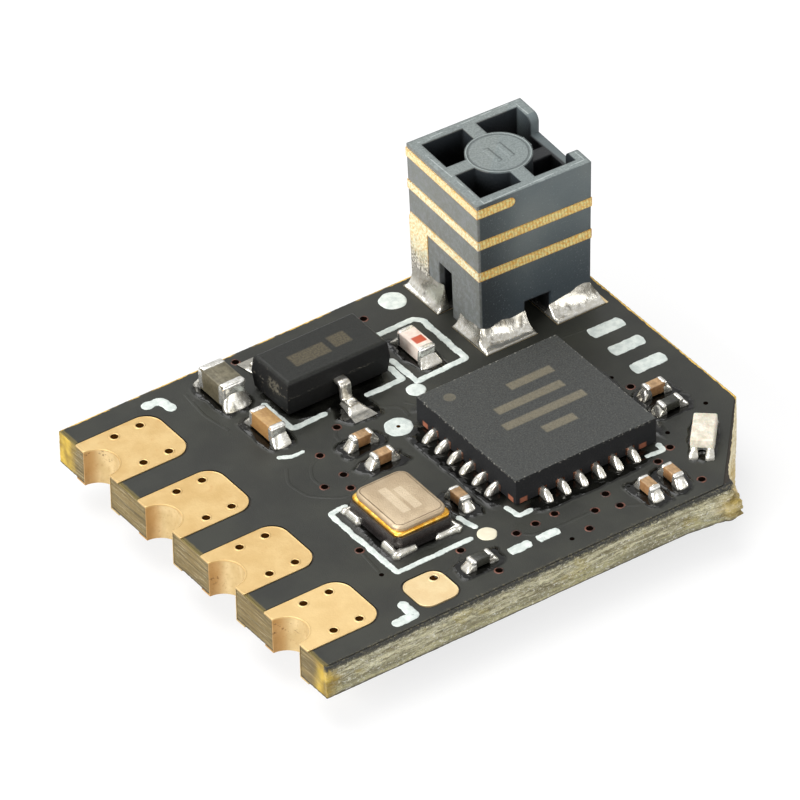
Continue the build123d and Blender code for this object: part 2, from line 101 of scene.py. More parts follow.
def stretch(point, x, y, z):
    """The point with each of its coordinates multiplied."""
    return point.node("ShaderNodeVectorMath", {"operation": "MULTIPLY"}, {0: point, 1: (x, y, z)})


def axes(point, middle=None):
    """The three coordinates of a point. Where a middle is given, x and y are measured from it."""
    x, y, z = [point.node("ShaderNodeSeparateXYZ", inputs={0: point}, out=name) for name in "XYZ"]
    return (x - middle[0], y - middle[1], z) if middle else (x, y, z)


def noise(point, scale, detail=2, rough=0.5):
    """Smooth noise about 0.5, with this many waves to a millimetre."""
    inputs = {"Vector": point, "Scale": scale, "Detail": detail, "Roughness": rough}
    return point.node("ShaderNodeTexNoise", inputs=inputs)


def rise(value, low, high):
    """0 below low and 1 above high, with a smooth step between them."""
    limits = {"Value": value, "From Min": low, "From Max": high}
    return value.node("ShaderNodeMapRange", {"interpolation_type": "SMOOTHSTEP"}, limits)


def highest(value, *others):
    """The greatest of some values."""
    for other in others:
        value = value.math("MAXIMUM", value, other)
    return value


def colour(screen):
    """A screen colour of 0 to 255 as the linear colour that a shader takes. A wire stays as it is."""
    if isinstance(screen, Wire):
        return screen
    share = np.array(screen) / 255
    linear = np.where(share > 0.04045, ((share + 0.055) / 1.055) ** 2.4, share / 12.92)
    return (*linear.tolist(), 1)


def blend(share, first, second):
    """The first colour where the share is 0, and the second where it is 1."""
    inputs = {0: share, 6: colour(first), 7: colour(second)}
    return share.node("ShaderNodeMix", {"data_type": "RGBA"}, inputs, out=2)


def coated(tone, *coats):
    """A colour under coats of other colours, each after the share that it covers."""
    for share, coat in coats:
        tone = blend(share, tone, coat)
    return tone


def relief(height, depth, edge=0.0):
    """The normal of a surface raised by the height, which is 0 to 1, times a depth in millimetres. Edges look
    rounded by the radius given as edge."""
    inputs = {"Height": height, "Distance": depth / 1000}
    if edge:
        inputs["Normal"] = height.node("ShaderNodeBevel", {"samples": 4}, {"Radius": edge / 1000})
    return height.node("ShaderNodeBump", inputs=inputs)


def surface(point, **inputs):
    """Ends a material with its surface. An underscore in an input's name stands for a space."""
    named = {key.replace("_", " "): value for key, value in inputs.items()}
    shader = point.node("ShaderNodeBsdfPrincipled", inputs=named)
    point.node("ShaderNodeOutputMaterial", inputs={"Surface": shader})


def dress(material, *names):
    """Gives CAD nodes the material."""
    for name in names:
        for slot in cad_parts[name].material_slots:
            slot.material = material


def skin(rings, ends=True):
    """A closed skin over rings of points, with a face over each end ring. A part is its points and its faces,
    which are the point numbers of all corners in a row and the number of corners of each face."""
    count, around = rings.shape[:2]
    place = np.arange(count * around).reshape(count, around)
    near = place[:-1]
    far = place[1:]
    corners = np.stack([near, np.roll(near, -1, 1), np.roll(far, -1, 1), far], axis=-1).ravel()
    sizes = np.full(near.size, 4)
    if ends:
        corners = np.concatenate([corners, place[0], place[-1]])
        sizes = np.append(sizes, [around, around])
    return rings.reshape(-1, 3), (corners, sizes)


def make(name, slot, material, parts, *replaces):
    """A piece of closed skins, given in millimetres, with its doubled points merged and faces outwards."""
    mesh = bpy.data.meshes.new(name)
    first = np.cumsum([0] + [len(points) for points, _ in parts])
    points = np.concatenate([points for points, _ in parts]) / 1000
    corners = np.concatenate([corners + shift for shift, (_, (corners, _)) in zip(first, parts)])
    sizes = np.concatenate([sizes for _, (_, sizes) in parts])
    mesh.vertices.add(len(points))
    mesh.vertices.foreach_set("co", points.ravel())
    mesh.loops.add(len(corners))
    mesh.loops.foreach_set("vertex_index", corners)
    mesh.polygons.add(len(sizes))
    mesh.polygons.foreach_set("loop_start", np.cumsum(sizes) - sizes)
    mesh.update(calc_edges=True)
    shape = bmesh.new()
    shape.from_mesh(mesh)
    bmesh.ops.remove_doubles(shape, verts=shape.verts, dist=2e-7)
    bmesh.ops.dissolve_degenerate(shape, edges=shape.edges, dist=1e-8)
    bmesh.ops.recalc_face_normals(shape, faces=shape.faces)
    shape.to_mesh(mesh)
    shape.free()
    mesh.polygons.foreach_set("use_smooth", np.ones(len(mesh.polygons), bool))
    mesh.set_sharp_from_angle(angle=np.radians(50))
    mesh.materials.append(material)
    piece = bpy.data.objects.new(name, mesh)
    bpy.context.scene.collection.objects.link(piece)
    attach(piece, "root")
    if replaces:
        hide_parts(*replaces)


def waves(x, y, seed, count=14, spread=0.6):
    """Smooth random numbers about 0, near -1 to 1: a mean of sine waves, each with its own run and phase."""
    random = np.random.default_rng(seed)
    turn = random.uniform(0, 2 * np.pi, count)
    size = np.exp(random.uniform(-spread, spread, count))
    phase = random.uniform(0, 2 * np.pi, count)
    total = sum(
        np.sin(k * (np.cos(a) * x + np.sin(a) * y) * 2 * np.pi + p) for k, a, p in zip(size, turn, phase)
    )
    return total * (2 / count) ** 0.5 / 1.4


def even(points, pitch, closed=False):
    """Points at an even pitch along a run of points."""
    run = np.vstack([points, points[:1]]) if closed else np.asarray(points, float)
    length = np.concatenate([[0], np.cumsum(np.linalg.norm(np.diff(run, axis=0), axis=1))])
    count = max(int(round(length[-1] / pitch)), 2)
    at = np.linspace(0, length[-1], count + 1)
    if closed:
        at = at[:-1]
    return np.stack([np.interp(at, length, run[:, i]) for i in range(run.shape[1])], axis=1)


def arc(x, y, radius, first, last, steps):
    """Points along an arc round a centre, between two angles in degrees."""
    angle = np.radians(np.linspace(first, last, steps))
    return np.stack([x + radius * np.cos(angle), y + radius * np.sin(angle)], axis=1)


def sideways(path, closed=False):
    """At each point of a flat path, the unit vector to the right of the way that it runs."""
    if closed:
        ahead = np.roll(path, -1, 0) - np.roll(path, 1, 0)
    else:
        ahead = np.gradient(path, axis=0)
    right = np.stack([ahead[:, 1], -ahead[:, 0]], axis=1)
    return right / np.linalg.norm(right, axis=1, keepdims=True)


LEFT = -6.75
RIGHT = 6.75
FRONT = -5.5
BACK = 5.5
LAMINATE_BOTTOM = 0.92
LAMINATE_TOP = 1.82
NOTCH_PITCH = 2.59
NOTCHES = (np.arange(4) - 1.5) * NOTCH_PITCH
NOTCH_RADIUS = 0.54
PLATING = 0.02
CUT_X = 2.24
CUT_Y = 2.60
STUB_REACH = 0.22

corner_start = np.array([RIGHT - CUT_X, FRONT])
outline = [[LEFT, FRONT], corner_start, [RIGHT, FRONT + CUT_Y], [RIGHT, BACK], [LEFT, BACK]]
outline = np.vstack([outline, *[arc(LEFT, y, NOTCH_RADIUS + PLATING, 90, -90, 40) for y in NOTCHES[::-1]]])
edge = even(outline, 0.03, closed=True)
edge = sum(np.roll(edge, k, 0) for k in (-1, 0, 1)) / 3
outward = sideways(edge, closed=True)
run = np.concatenate([[0], np.cumsum(np.linalg.norm(np.diff(edge, axis=0), axis=1))])

# How far the wall stands out: torn cloth on the front, light routing marks elsewhere, and the stub
from_corner = run - (corner_start[0] - LEFT)
stub_run = [-1.1, -0.55, -0.1, 0.07, 0.44, 0.78, 1.24, 1.7, 2.6, 3.4]
stub_out = [0.0, 0.09, 0.16, 0.41, 0.25, 0.15, 0.12, 0.09, 0.05, 0.0]
stub = np.interp(from_corner, stub_run, stub_out, left=0, right=0)
in_notch = np.min(np.abs(edge[:, 1:] - NOTCHES), axis=1) < NOTCH_RADIUS + 0.01
in_notch &= edge[:, 0] < LEFT + 1
torn = np.interp(edge[:, 1], [FRONT + 0.01, FRONT + 0.06], [1, 0])
torn = np.maximum(torn, np.interp(from_corner, [-0.5, 0, 1.2, 3.4, 3.5], [0, 1, 0.8, 0.15, 0]))
rings = []
for level in np.concatenate([[0.0, 0.008], np.linspace(0.03, 0.87, 27), [0.892, 0.9]]):
    layers = waves(run * 0.9, run * 0 + level * 9, 3) + 0.6 * waves(run * 3.5, run * 0 + level * 17, 4)
    fibres = waves(run * 9, run * 0 + level * 22, 5)
    share = np.interp(level, [0, 0.06, 0.40, 0.50, 0.9], [0.8, 0.95, 1, 0.42, 0.2])
    calm = np.interp(level, [0, 0.14, 0.74, 0.88], [0.2, 1, 1, 0.25])
    out = torn * calm * (0.012 * layers + 0.007 * fibres) + stub * np.minimum(share + 0.10 * layers, 1)
    out += (1 - torn) * (0.004 * fibres - 0.007)
    out = np.where(in_notch, 0, out) - (0.015 if level in (0.0, 0.9) else 0)
    ring = np.clip(edge + outward * out[:, None], [LEFT, FRONT - STUB_REACH], [RIGHT, BACK])
    rings.append(np.column_stack([ring, np.full(len(edge), level + LAMINATE_BOTTOM)]))


def rim_patches(at, x):
    """1 where copper and laminate show along the board's top edge: in patches, and all along the right."""
    return highest(rise(noise(at, 1.1, 2), 0.45, 0.53), rise(x, 3.0, 4.5))


laminate, at = start("glass_laminate")
x, y, z = axes(at)
layer = noise(stretch(at, 0.5, 0.5, 8), 1.0, 4, 0.62)
streak = noise(stretch(at, 0.8, 0.8, 32), 1.0, 4, 0.66)
patch = noise(stretch(at, 0.35, 0.35, 1.1), 1.6, 3)
thread = noise(stretch(at, 6, 6, 34), 1.0, 3, 0.6)
grains = noise(stretch(at, 0.22, 0.35, 1.7), 9.0, 4, 0.7)
blotch = noise(stretch(at, 0.26, 0.5, 2.8), 2.6, 4, 0.66)
crumbs = noise(stretch(at, 1, 1, 1.6), 13, 4, 0.75)
hair = noise(stretch(at, 1.2, 1.2, 60), 1.0, 3, 0.6)
specks = noise(at, 15, 4, 0.75)
frayed = noise(at, 7, 3) * 0.05
low_ply = rise(z + blotch * 0.3, 1.40, 1.30)
khaki = coated(
    blend(rise(grains, 0.34, 0.64), (136, 130, 100), (224, 218, 182)),
    (rise(noise(at, 24, 3, 0.7), 0.56, 0.66) * 0.4, (92, 86, 64)),
    (rise(blotch, 0.50, 0.64) * 0.55, (112, 100, 60)),
    (rise(blotch, 0.46, 0.32) * 0.60, (240, 234, 210)),
    (rise(noise(at, 1.7, 2), 0.56, 0.66) * 0.30, (196, 178, 92)),
    (rise(layer, 0.56, 0.64) * 0.5, (104, 94, 60)),
    (low_ply * rise(grains, 0.42, 0.54) * 0.6, (92, 88, 58)),
    (low_ply * rise(blotch, 0.50, 0.42) * 0.4, (214, 206, 150)),
    (rise(crumbs, 0.58, 0.62) * 0.5, (58, 54, 38)),
    (rise(crumbs, 0.42, 0.38) * 0.6, (255, 254, 244)),
    (rise(thread, 0.62, 0.68) * 0.6, (72, 66, 44)),
    # Painted glints: the pale thread flecks stand in for light caught by the glass fibres.
    (rise(thread, 0.38, 0.32) * 0.7, (252, 250, 236)),
)
cloth = rise(streak, 0.36, 0.62)
olive = blend(rise(hair, 0.58, 0.66) * 0.6, blend(cloth, (82, 68, 34), (126, 108, 66)), (206, 196, 164))
amber = blend(rise(noise(at, 2.5, 3), 0.3, 0.7), (140, 112, 28), (212, 178, 64))
on_front = rise(y, -5.36, -5.44)
across_cut = x * (CUT_Y / np.hypot(CUT_X, CUT_Y)) - y * (CUT_X / np.hypot(CUT_X, CUT_Y))
painted_light_cut_wall = rise(across_cut, 6.91, 6.97) * rise(y, -5.45, -5.35)
ends = highest(
    rise(x + patch * 0.8, -5.9, -6.35) * on_front,
    rise(y + patch * 0.5, 4.9, 5.4),
    rise(y - patch * 0.5, -5.1, -5.6) * rise(x, -6.66, -6.70),
    rise(x - y * 0.5 + patch * 1.2, 7.5, 8.1) * rise(z, 1.80, 1.45) * rise(y, -4.0, -5.2) * 0.6,
)
sawn_back = rise(y, 5.40, 5.46) * rise(x, -6.5, -5.9)
mask_lip = rise(z + specks * 0.44, 1.86, 1.98) * on_front
rim = rise(highest(y - 5.36, x - 6.61) + frayed, 0.05, 0.09) * rim_patches(at, x)
top_tone = coated(
    blend(rim, (34, 26, 14), (214, 178, 88)),
    (rise(frayed - x, 6.66, 6.70), (112, 98, 50)),
    (on_front, blend(rise(specks, 0.52, 0.62), (34, 33, 29), (112, 106, 84))),
)
tone = coated(
    blend(on_front, olive, khaki),
    # Painted light: the cut wall turns away from the lamps and is painted pale, standing in for the light
    # that its face gets little of.
    (painted_light_cut_wall, blend(cloth, (214, 194, 142), (254, 244, 212))),
    (ends * (0.85 - sawn_back * 0.55), amber),
    (mask_lip, blend(rise(specks, 0.5, 0.62), (42, 42, 38), (92, 88, 72))),
    (rise(z + grains * 0.02, 0.985, 0.955) * 0.9, (44, 38, 27)),
    (rise(z, LAMINATE_TOP - 0.006, LAMINATE_TOP - 0.002), top_tone),
)
dent = layer * 0.3 + streak * 0.4 + thread * 0.3 + (grains * 0.7 + blotch * 0.5 + crumbs) * on_front
surface(at, Base_Color=tone, Roughness=0.62, Normal=relief(dent, 0.04))
make("circuit_board_laminate", "laminate", laminate, [skin(np.array(rings))], "circuit_board")


# SOLDER MASK: a thin black coat over the copper on both faces. It follows the tracks under it, so they show
# as faint ridges, and it is glossier where flux was washed off around the solder.

TOPSIDE = 1.85
UNDERSIDE = 0.89
mask_coat, at = start("black_solder_mask")
x, y = axes(at)[:2]
cloud = noise(at, 0.9, 3)
grain = noise(at, 38, 2)
torn_lip = rise(noise(at, 9, 4, 0.75) * 0.34 - y, 5.54, 5.66) * rise(noise(at, 22, 3, 0.7), 0.50, 0.58)
bare_left = rise(noise(stretch(at, 1, 1, 0.3), 7, 3) * 0.05 - x, 6.655, 6.69)
rim = rise(highest(y - BACK, x - RIGHT) + noise(at, 5, 4, 0.6) * 0.11, -0.03, -0.015)
wet = rise(noise(at, 0.55, 2), 0.52, 0.62)
tone = coated(
    blend(rise(cloud, 0.3, 0.72), (32, 33, 28), (44, 45, 38)),
    (rise(noise(at, 60, 1), 0.68, 0.76) * 0.4, (82, 80, 68)),
    (torn_lip * 0.8, (104, 98, 78)),
    (bare_left * 0.8, (104, 92, 50)),
    (rim * rim_patches(at, x), (222, 182, 92)),
)
surface(
    at,
    Base_Color=tone,
    Roughness=0.50 - wet * 0.14 + grain * 0.08,
    Specular_IOR_Level=0.4,
    Normal=relief(grain * 0.5 + cloud, 0.008),
)
dress(mask_coat, "solder_mask_top", "solder_mask_bottom")


# EDGE PADS: copper lands plated with nickel and a skin of gold, on both faces, joined round each notch by
# the plating of its half barrel. Four vias stitch each pad through the board.

PAD_LENGTH = 2.12
PAD_WIDTH = 1.76
PAD_CORNER = 0.45
LAND_TOP = 1.86
TEST_PAD = (LEFT + 3.57, FRONT + 0.93)
TEST_REACH = 0.24
TEST_CORNER = 0.29
TEST_VIA = (TEST_PAD[0] + 0.28, TEST_PAD[1] + 0.28)
VIA_X = (0.9125, 1.6275)
VIA_Y = (-0.61, 0.61)
VIA_RIM = 0.118

gold_skin, at = start("gold_plating")
x, y, z = axes(at)
mottle = noise(at, 1.4, 4, 0.6)
cloudy = rise(mottle, 0.3, 0.7)
speck = noise(at, 22, 2)
wrinkles = noise(stretch(at, 1, 1, 1.6), 7, 4, 0.65)
barrel = rise(z, LAND_TOP - 0.01, LAND_TOP - 0.05)
pits = rise(wrinkles, 0.60, 0.66) * barrel * rise(noise(at, 2.2, 2), 0.50, 0.62)
bay = (y - NOTCHES[0]) * (1 / NOTCH_PITCH) + 0.5
bay = bay.math("FRACT", bay) - 0.5
tan = coated(
    blend(rise(noise(stretch(at, 1, 1, 0.6), 3, 4), 0.3, 0.7), (194, 168, 118), (216, 192, 144)),
    (rise(noise(at, 13, 3, 0.7), 0.54, 0.66) * 0.35, (170, 134, 84)),
    (rise(bay, 0.14, 0.21) * 0.6, (180, 126, 58)),
)
tone = coated(
    blend(cloudy, (203, 169, 111), (217, 187, 131)),
    (rise(noise(at, 5, 3), 0.60, 0.8) * 0.4, (196, 146, 84)),
    (rise(y, 0.5, -4.5) * 0.35, (236, 208, 152)),
    (rise(x, -4.4, -4.0), blend(cloudy, (219, 191, 143), (228, 207, 161))),
    (barrel, tan),
    (pits * 0.8, (112, 78, 44)),
)
surface(
    at,
    Base_Color=tone,
    Metallic=0.62 - barrel * 0.3,
    Roughness=0.38 + speck * 0.10 + barrel * 0.15,
    Normal=relief(speck * 0.3 + mottle - pits + wrinkles * 0.3, 0.008),
)
dress(gold_skin, "edge_pad_1", "edge_pad_2", "edge_pad_3", "edge_pad_4", "test_pad", "antenna_lands")


def tube(path, radius, height, around=7, closed=True):
    """A bead along a flat path: a half ellipse of this half width and height stands across each point."""
    path = np.asarray(path, float)
    angle = np.linspace(0, np.pi, around)
    radius = np.broadcast_to(radius, len(path))
    height = np.broadcast_to(height, len(path))
    side = np.cos(angle)[None, :, None] * radius[:, None, None] * sideways(path, closed)[:, None, :]
    level = height[:, None] * np.sin(angle)[None, :]
    rings = np.concatenate([path[:, None, :] + side, level[:, :, None]], axis=2)
    if closed:
        return skin(np.concatenate([rings, rings[:1]]), ends=False)
    return skin(rings)


def move(part, x, y, z, scale=1):
    """The part scaled about the origin, by one number or one for each axis, and then moved."""
    points, faces = part
    return points * scale + [x, y, z], faces


def rounded(x, y, reach_x, reach_y, radius, steps):
    """A closed line of four corner arcs, whose centres lie this far out from the middle."""
    return np.vstack([
        arc(x + sx * reach_x, y + sy * reach_y, radius, first, first + 90, steps)
        for sx, sy, first in ((1, 1, 0), (-1, 1, 90), (-1, -1, 180), (1, -1, 270))
    ])


pad_lines = []
for notch in NOTCHES:
    far = LEFT + PAD_LENGTH - PAD_CORNER
    side = PAD_WIDTH / 2
    pad_lines.append(np.vstack([
        [[LEFT + 0.02, notch - side]],
        arc(far, notch - side + PAD_CORNER, PAD_CORNER, -90, 0, 10),
        arc(far, notch + side - PAD_CORNER, PAD_CORNER, 0, 90, 10),
        [[LEFT + 0.02, notch + side]],
        arc(LEFT + 0.018, notch, NOTCH_RADIUS + 0.012, 90, -90, 40),
    ]))
pad_lines.append(rounded(*TEST_PAD, TEST_REACH, TEST_REACH, TEST_CORNER, 10))
pad_vias = [(LEFT + x, notch + y) for notch in NOTCHES for x in VIA_X for y in VIA_Y]
pad_vias.append(TEST_VIA)
beads = [tube(even(line, 0.04, True), 0.016, 0.008) for line in pad_lines]
beads += [tube(arc(*via, VIA_RIM, 0, 360, 29)[:-1], 0.022, 0.012) for via in pad_vias]
make("pad_rims", "gold_plating", gold_skin, [move(bead, 0, 0, LAND_TOP - 0.001) for bead in beads])


def lathe(x, y, profile, around=24):
    """A closed turned form: the profile's radii and levels, carried round an upright line."""
    angle = np.linspace(0, 2 * np.pi, around, endpoint=False)
    profile = np.asarray(profile, float)
    ring = np.stack([np.cos(angle), np.sin(angle)], axis=1)
    flat = profile[:, None, :1] * ring[None] + [x, y]
    level = np.broadcast_to(profile[:, None, 1:], (len(profile), around, 1))
    return skin(np.concatenate([flat, level], axis=2))


# Painted shade: each pad via is filled near its top by a dark brown plug, which stands in for the shade
# inside the hole.
SHADE_PLUG = ((0.104, LAMINATE_TOP + 0.012), (0.104, LAND_TOP - 0.012), (0.06, LAND_TOP - 0.02))
hole_shade_brown, at = start("via_depth")
tone = blend(noise(at, 12, 2), (22, 11, 2), (70, 40, 10))
surface(at, Base_Color=tone, Roughness=0.8, Specular_IOR_Level=0.0)
make("pad_via_shade", "laminate", hole_shade_brown, [lathe(*via, SHADE_PLUG, 16) for via in pad_vias])


# VIAS: small drilled holes through the board, plated with copper to join its two faces. The ring of copper
# round each looks red under the thin mask, and tracks of copper run from some of them.

# Places from the board's front left corner
VIAS = (
    (4.80, 10.67), (8.18, 10.25), (5.29, 7.19), (4.36, 6.54), (4.39, 5.62), (3.77, 5.50), (4.24, 5.11),
    (3.07, 3.07), (4.94, 1.68), (6.34, 1.43), (6.90, 1.46), (7.47, 1.50), (5.22, 0.55), (11.70, 4.35),
    (11.08, 1.93), (10.54, 1.66), (10.96, 0.51), (8.85, 1.40), (8.87, 0.85), (8.29, 1.04), (7.80, 0.57),
)
FAINT_VIAS = ((2.96, 2.03), (7.25, 0.50), (11.54, 4.90), (12.74, 2.79), (11.36, 2.41))
VIA_RADIUS = 0.09
FAINT_VIA_RADIUS = 0.06

copper_ring, at = start("copper_under_thin_mask")
tone = blend(rise(noise(at, 6, 2), 0.35, 0.65), (34, 26, 22), (112, 66, 50))
surface(at, Base_Color=tone, Metallic=0.2, Roughness=0.4)
# Painted shade: each via's hole is a near-black disc laid on the mask, standing in for the shade inside it.
hole_shade_black, at = start("drilled_hole")
tone = blend(noise(at, 12, 2), (3, 2, 1), (18, 10, 7))
surface(at, Base_Color=tone, Roughness=0.8, Specular_IOR_Level=0.0)
via_rings = []
via_holes = []
for x, y in VIAS + FAINT_VIAS:
    faint = (x, y) in FAINT_VIAS
    size = FAINT_VIA_RADIUS if faint else VIA_RADIUS
    hole = lathe(LEFT + x, FRONT + y, [(size, 0.0), (size - 0.002, 0.005), (0.01, 0.0045)])
    ring_line = [(size + 0.035, -0.001), (size + 0.024, 0.005), (size + 0.002, 0.006), (size - 0.012, 0.001)]
    ring = lathe(LEFT + x, FRONT + y, ring_line)
    for level, way in ((TOPSIDE, 1), (UNDERSIDE, -1)):
        via_holes.append(move(hole, 0, 0, level, [1, 1, way]))
        if not faint:
            via_rings.append(move(ring, 0, 0, level, [1, 1, way]))
make("via_rings", "gold_plating", copper_ring, via_rings)
make("via_holes", "laminate", hole_shade_black, via_holes)

# Tracks under the mask: half width and places of each, shown by the ridge that it raises
TRACKS = (
    (0.05, (4.36, 6.54), (3.95, 6.35), (3.70, 5.90), (3.77, 5.50)),
    (0.05, (4.39, 5.62), (4.75, 5.75), (5.05, 6.05)),
    (0.05, (4.24, 5.11), (4.65, 5.15), (5.00, 5.35)),
    (0.05, (5.29, 7.19), (5.05, 6.95), (5.05, 6.60)),
    (0.05, (3.45, 6.60), (3.15, 6.10), (3.25, 5.45), (3.80, 4.95), (4.60, 4.75)),
    (0.06, (6.34, 1.43), (6.60, 1.15), (7.40, 1.05), (8.29, 1.04)),
    (0.06, (8.87, 0.85), (9.20, 0.60), (10.00, 0.42), (10.96, 0.51)),
    (0.05, (7.10, 7.05), (7.35, 6.70), (7.05, 6.30), (6.85, 6.25)),
    (0.06, (6.50, 7.25), (6.95, 6.95), (6.90, 6.55)),
    (0.05, (11.70, 4.35), (11.30, 4.60), (11.54, 4.90)),
    (0.05, (11.36, 2.41), (11.10, 2.75), (11.50, 3.10)),
    (0.05, (2.96, 2.03), (3.07, 3.07)),
    (0.06, (4.94, 1.68), (4.40, 1.20), (3.90, 1.25)),
    (0.05, (3.15, 10.35), (3.05, 9.40), (3.20, 8.60)),
    (0.05, (11.2, 6.9), (12.4, 6.75), (13.0, 6.3)),
)
VIA_CLEARANCE = 0.12


def smooth(path, times):
    """The path with each inner point moved, some times over, to the mean of itself and its neighbours."""
    for _ in range(times):
        path[1:-1] = (path[:-2] + path[1:-1] + path[2:]) / 3
    return path


via_spots = np.array(VIAS + FAINT_VIAS) + [LEFT, FRONT]
ridges = []
for width, *places in TRACKS:
    path = smooth(even(np.array(places) + [LEFT, FRONT], 0.04), 12)
    to_via = np.linalg.norm(path[:, None] - via_spots[None], axis=2).min(axis=1)
    ridge = tube(path[to_via > VIA_CLEARANCE], width, 0.006, closed=False)
    ridges.append(move(ridge, 0, 0, TOPSIDE - 0.0005))
make("mask_ridges", "solder_mask", mask_coat, ridges)


# PRINT: white ink screened on the mask. The strokes frame the parts and mark corners, with soft wavy edges
# and round ends. Dots and plain bars stand beside them.

# Width and places of each stroke, from the board's front left corner
STROKES = (
    (0.15, (3.81, 4.62), (3.28, 4.57), (3.30, 1.88), (5.44, 1.89)),
    (0.15, (5.58, 2.76), (5.72, 2.12)),
    (0.17, (4.40, 8.99), (4.42, 7.76), (5.43, 7.77)),
    (0.17, (6.49, 7.77), (7.57, 7.78), (7.60, 8.38)),
    (0.17, (7.95, 9.53), (9.10, 9.54), (9.27, 9.36), (9.24, 7.56), (7.80, 7.50), (7.78, 8.60)),
    (0.15, (6.71, 2.40), (6.76, 1.95), (7.18, 1.93)),
    (0.15, (10.38, 1.97), (10.90, 1.93), (10.93, 2.23)),
    (0.12, (3.50, 7.06), (3.80, 6.90), (4.15, 6.90)),
    (0.27, (2.04, 10.52), (2.54, 10.49), (2.63, 9.98)),
    (0.27, (2.72, 0.95), (2.72, 0.36), (2.10, 0.36)),
)
SIDE_BARS = [((12.10, level), (13.05, level)) for level in (4.85, 5.70, 6.55)]
FRONT_BARS = [((middle - 0.31, 0.95), (middle + 0.31, 0.95)) for middle in (6.10, 6.90)]
RING_DOT = (6.45, 6.34)
WHITE_DOTS = ((9.13, 10.42, 0.34), (7.60, 7.26, 0.24), (*RING_DOT, 0.35))
CREAM_DOT = (5.78, 1.82, 0.24)
PRINT_HEIGHT = 0.018

ink, at = start("white_print_ink")
tone = blend(rise(noise(at, 6, 4, 0.6), 0.3, 0.7), (196, 205, 200), (226, 232, 226))
surface(at, Base_Color=tone, Roughness=0.7, Normal=relief(noise(at, 24, 3), 0.012))


def squarish(value, power):
    """A sine or cosine with its size raised to a power under 1, which makes a round section squarish."""
    return np.sign(value) * np.abs(value) ** power


def stroke(places, width, seed, end=1.0):
    """A printed stroke: a low bead along the places, whose half width wavers and falls to nothing in a
    quarter circle at each end."""
    pitch = 0.025
    path = smooth(even(np.array(places) + [LEFT, FRONT], pitch), 2)
    along = np.arange(len(path)) * pitch
    coarse, fine, shift_x, shift_y = [
        waves(along * scale, along * 0, seed + i) for i, scale in enumerate((2.6, 9, 1.7, 1.7))
    ]
    half = width / 2 + 0.006 * coarse + 0.006 * fine
    near = np.clip(np.minimum(along, along[::-1]) / (half * end), 0, 1)
    half = half * np.sqrt(np.clip(1 - (1 - near) ** 2, 0.02, 1))
    path = path + 0.008 * np.stack([shift_x, shift_y], axis=1)
    angle = np.linspace(0, np.pi, 9)
    side = squarish(np.cos(angle), 0.6)[None, :, None] * half[:, None, None] * sideways(path)[:, None, :]
    level = PRINT_HEIGHT * np.sin(angle) ** 0.5 * np.ones((len(path), 1))
    return skin(np.concatenate([path[:, None, :] + side, level[:, :, None]], axis=2))


def blot(x, y, radius, seed):
    """A printed dot: a circle whose radius wavers, drawn in by a share at each height of a flat dome."""
    angle = np.linspace(0, 2 * np.pi, 48, endpoint=False)
    rim = 1 + 0.035 * waves(np.cos(angle), np.sin(angle), seed)
    share = np.array([1.0, 0.97, 0.85, 0.4, 0.05])
    level = np.array([0.0, 0.65, 0.95, 1.0, 1.0]) * PRINT_HEIGHT
    ring = np.stack([np.cos(angle) * rim, np.sin(angle) * rim], axis=1) * radius
    flat = share[:, None, None] * ring[None] + [LEFT + x, FRONT + y]
    return skin(np.concatenate([flat, np.broadcast_to(level[:, None, None], (5, 48, 1))], axis=2))


prints = [stroke(places, width, 20 + 5 * i) for i, (width, *places) in enumerate(STROKES)]
prints += [blot(*dot, 81 + i) for i, dot in enumerate(WHITE_DOTS)]
prints += [stroke(bar, 0.40, 90 + 5 * i, 0.35) for i, bar in enumerate(SIDE_BARS)]
prints += [stroke(bar, 0.26, 110 + 5 * i, 0.35) for i, bar in enumerate(FRONT_BARS)]
cream_ink, at = start("cream_print_ink")
surface(at, Base_Color=blend(noise(at, 8, 3), (214, 206, 178), (232, 226, 204)), Roughness=0.7)
hole_line = [(0.05, 0), (0.05, PRINT_HEIGHT + 0.003), (0.01, PRINT_HEIGHT + 0.003)]
ring_hole = lathe(LEFT + RING_DOT[0], FRONT + RING_DOT[1], hole_line, 16)
make("print_marks", "print", ink, [move(part, 0, 0, TOPSIDE) for part in prints], "silkscreen_top")
make("cream_dot", "print", cream_ink, [move(blot(*CREAM_DOT, 84), 0, 0, TOPSIDE + 0.001)])
# The ring dot's hole is a dark plug of the same painted hole shade.
make("print_hole", "print", hole_shade_brown, [move(ring_hole, 0, 0, TOPSIDE)])


# RADIO CHIP AND MICROCONTROLLER: square packages of dark moulding resin with fine silica grains, sawn from a
# sheet, with copper lead ends showing in their sides. Laser marks on top are plain bars and a pin-1 dot.

RADIO = (LEFT + 8.92, FRONT + 4.25)
RADIO_SIDE = 4.0
CONTROLLER_SIDE = 5.0
LEAD_PITCH = 0.5
JOINT_SIZE = (0.40, 0.19, 0.26)
# Cut ends of the lead frame in the sides, and laser marks: middle and half sizes, from the package's middle
TIE_BARS = (
    (-2.0, -1.78, 0.05, 0.10), (-1.79, -2.0, 0.10, 0.05),
    (1.61, -2.0, 0.10, 0.05), (-2.0, 1.66, 0.05, 0.10),
)
RADIO_BARS = (
    (0.55, 1.00, 0.62, 0.13), (0.10, 0.40, 0.95, 0.13),
    (0.10, -0.20, 1.15, 0.13), (0.10, -0.80, 0.45, 0.13),
)


def marks(x, y, boxes, soft=0.03):
    """1 inside any of some rectangles, each given by its middle and its half sizes, and 0 outside them."""
    found = []
    for middle_x, middle_y, half_x, half_y in boxes:
        across = rise(abs(x - middle_x), half_x + soft, half_x - soft)
        found.append(across * rise(abs(y - middle_y), half_y + soft, half_y - soft))
    return highest(*found)


def distance(x, y):
    """The distance from the origin: the root of the sum of both squares."""
    return x.math("SQRT", x * x + y * y)


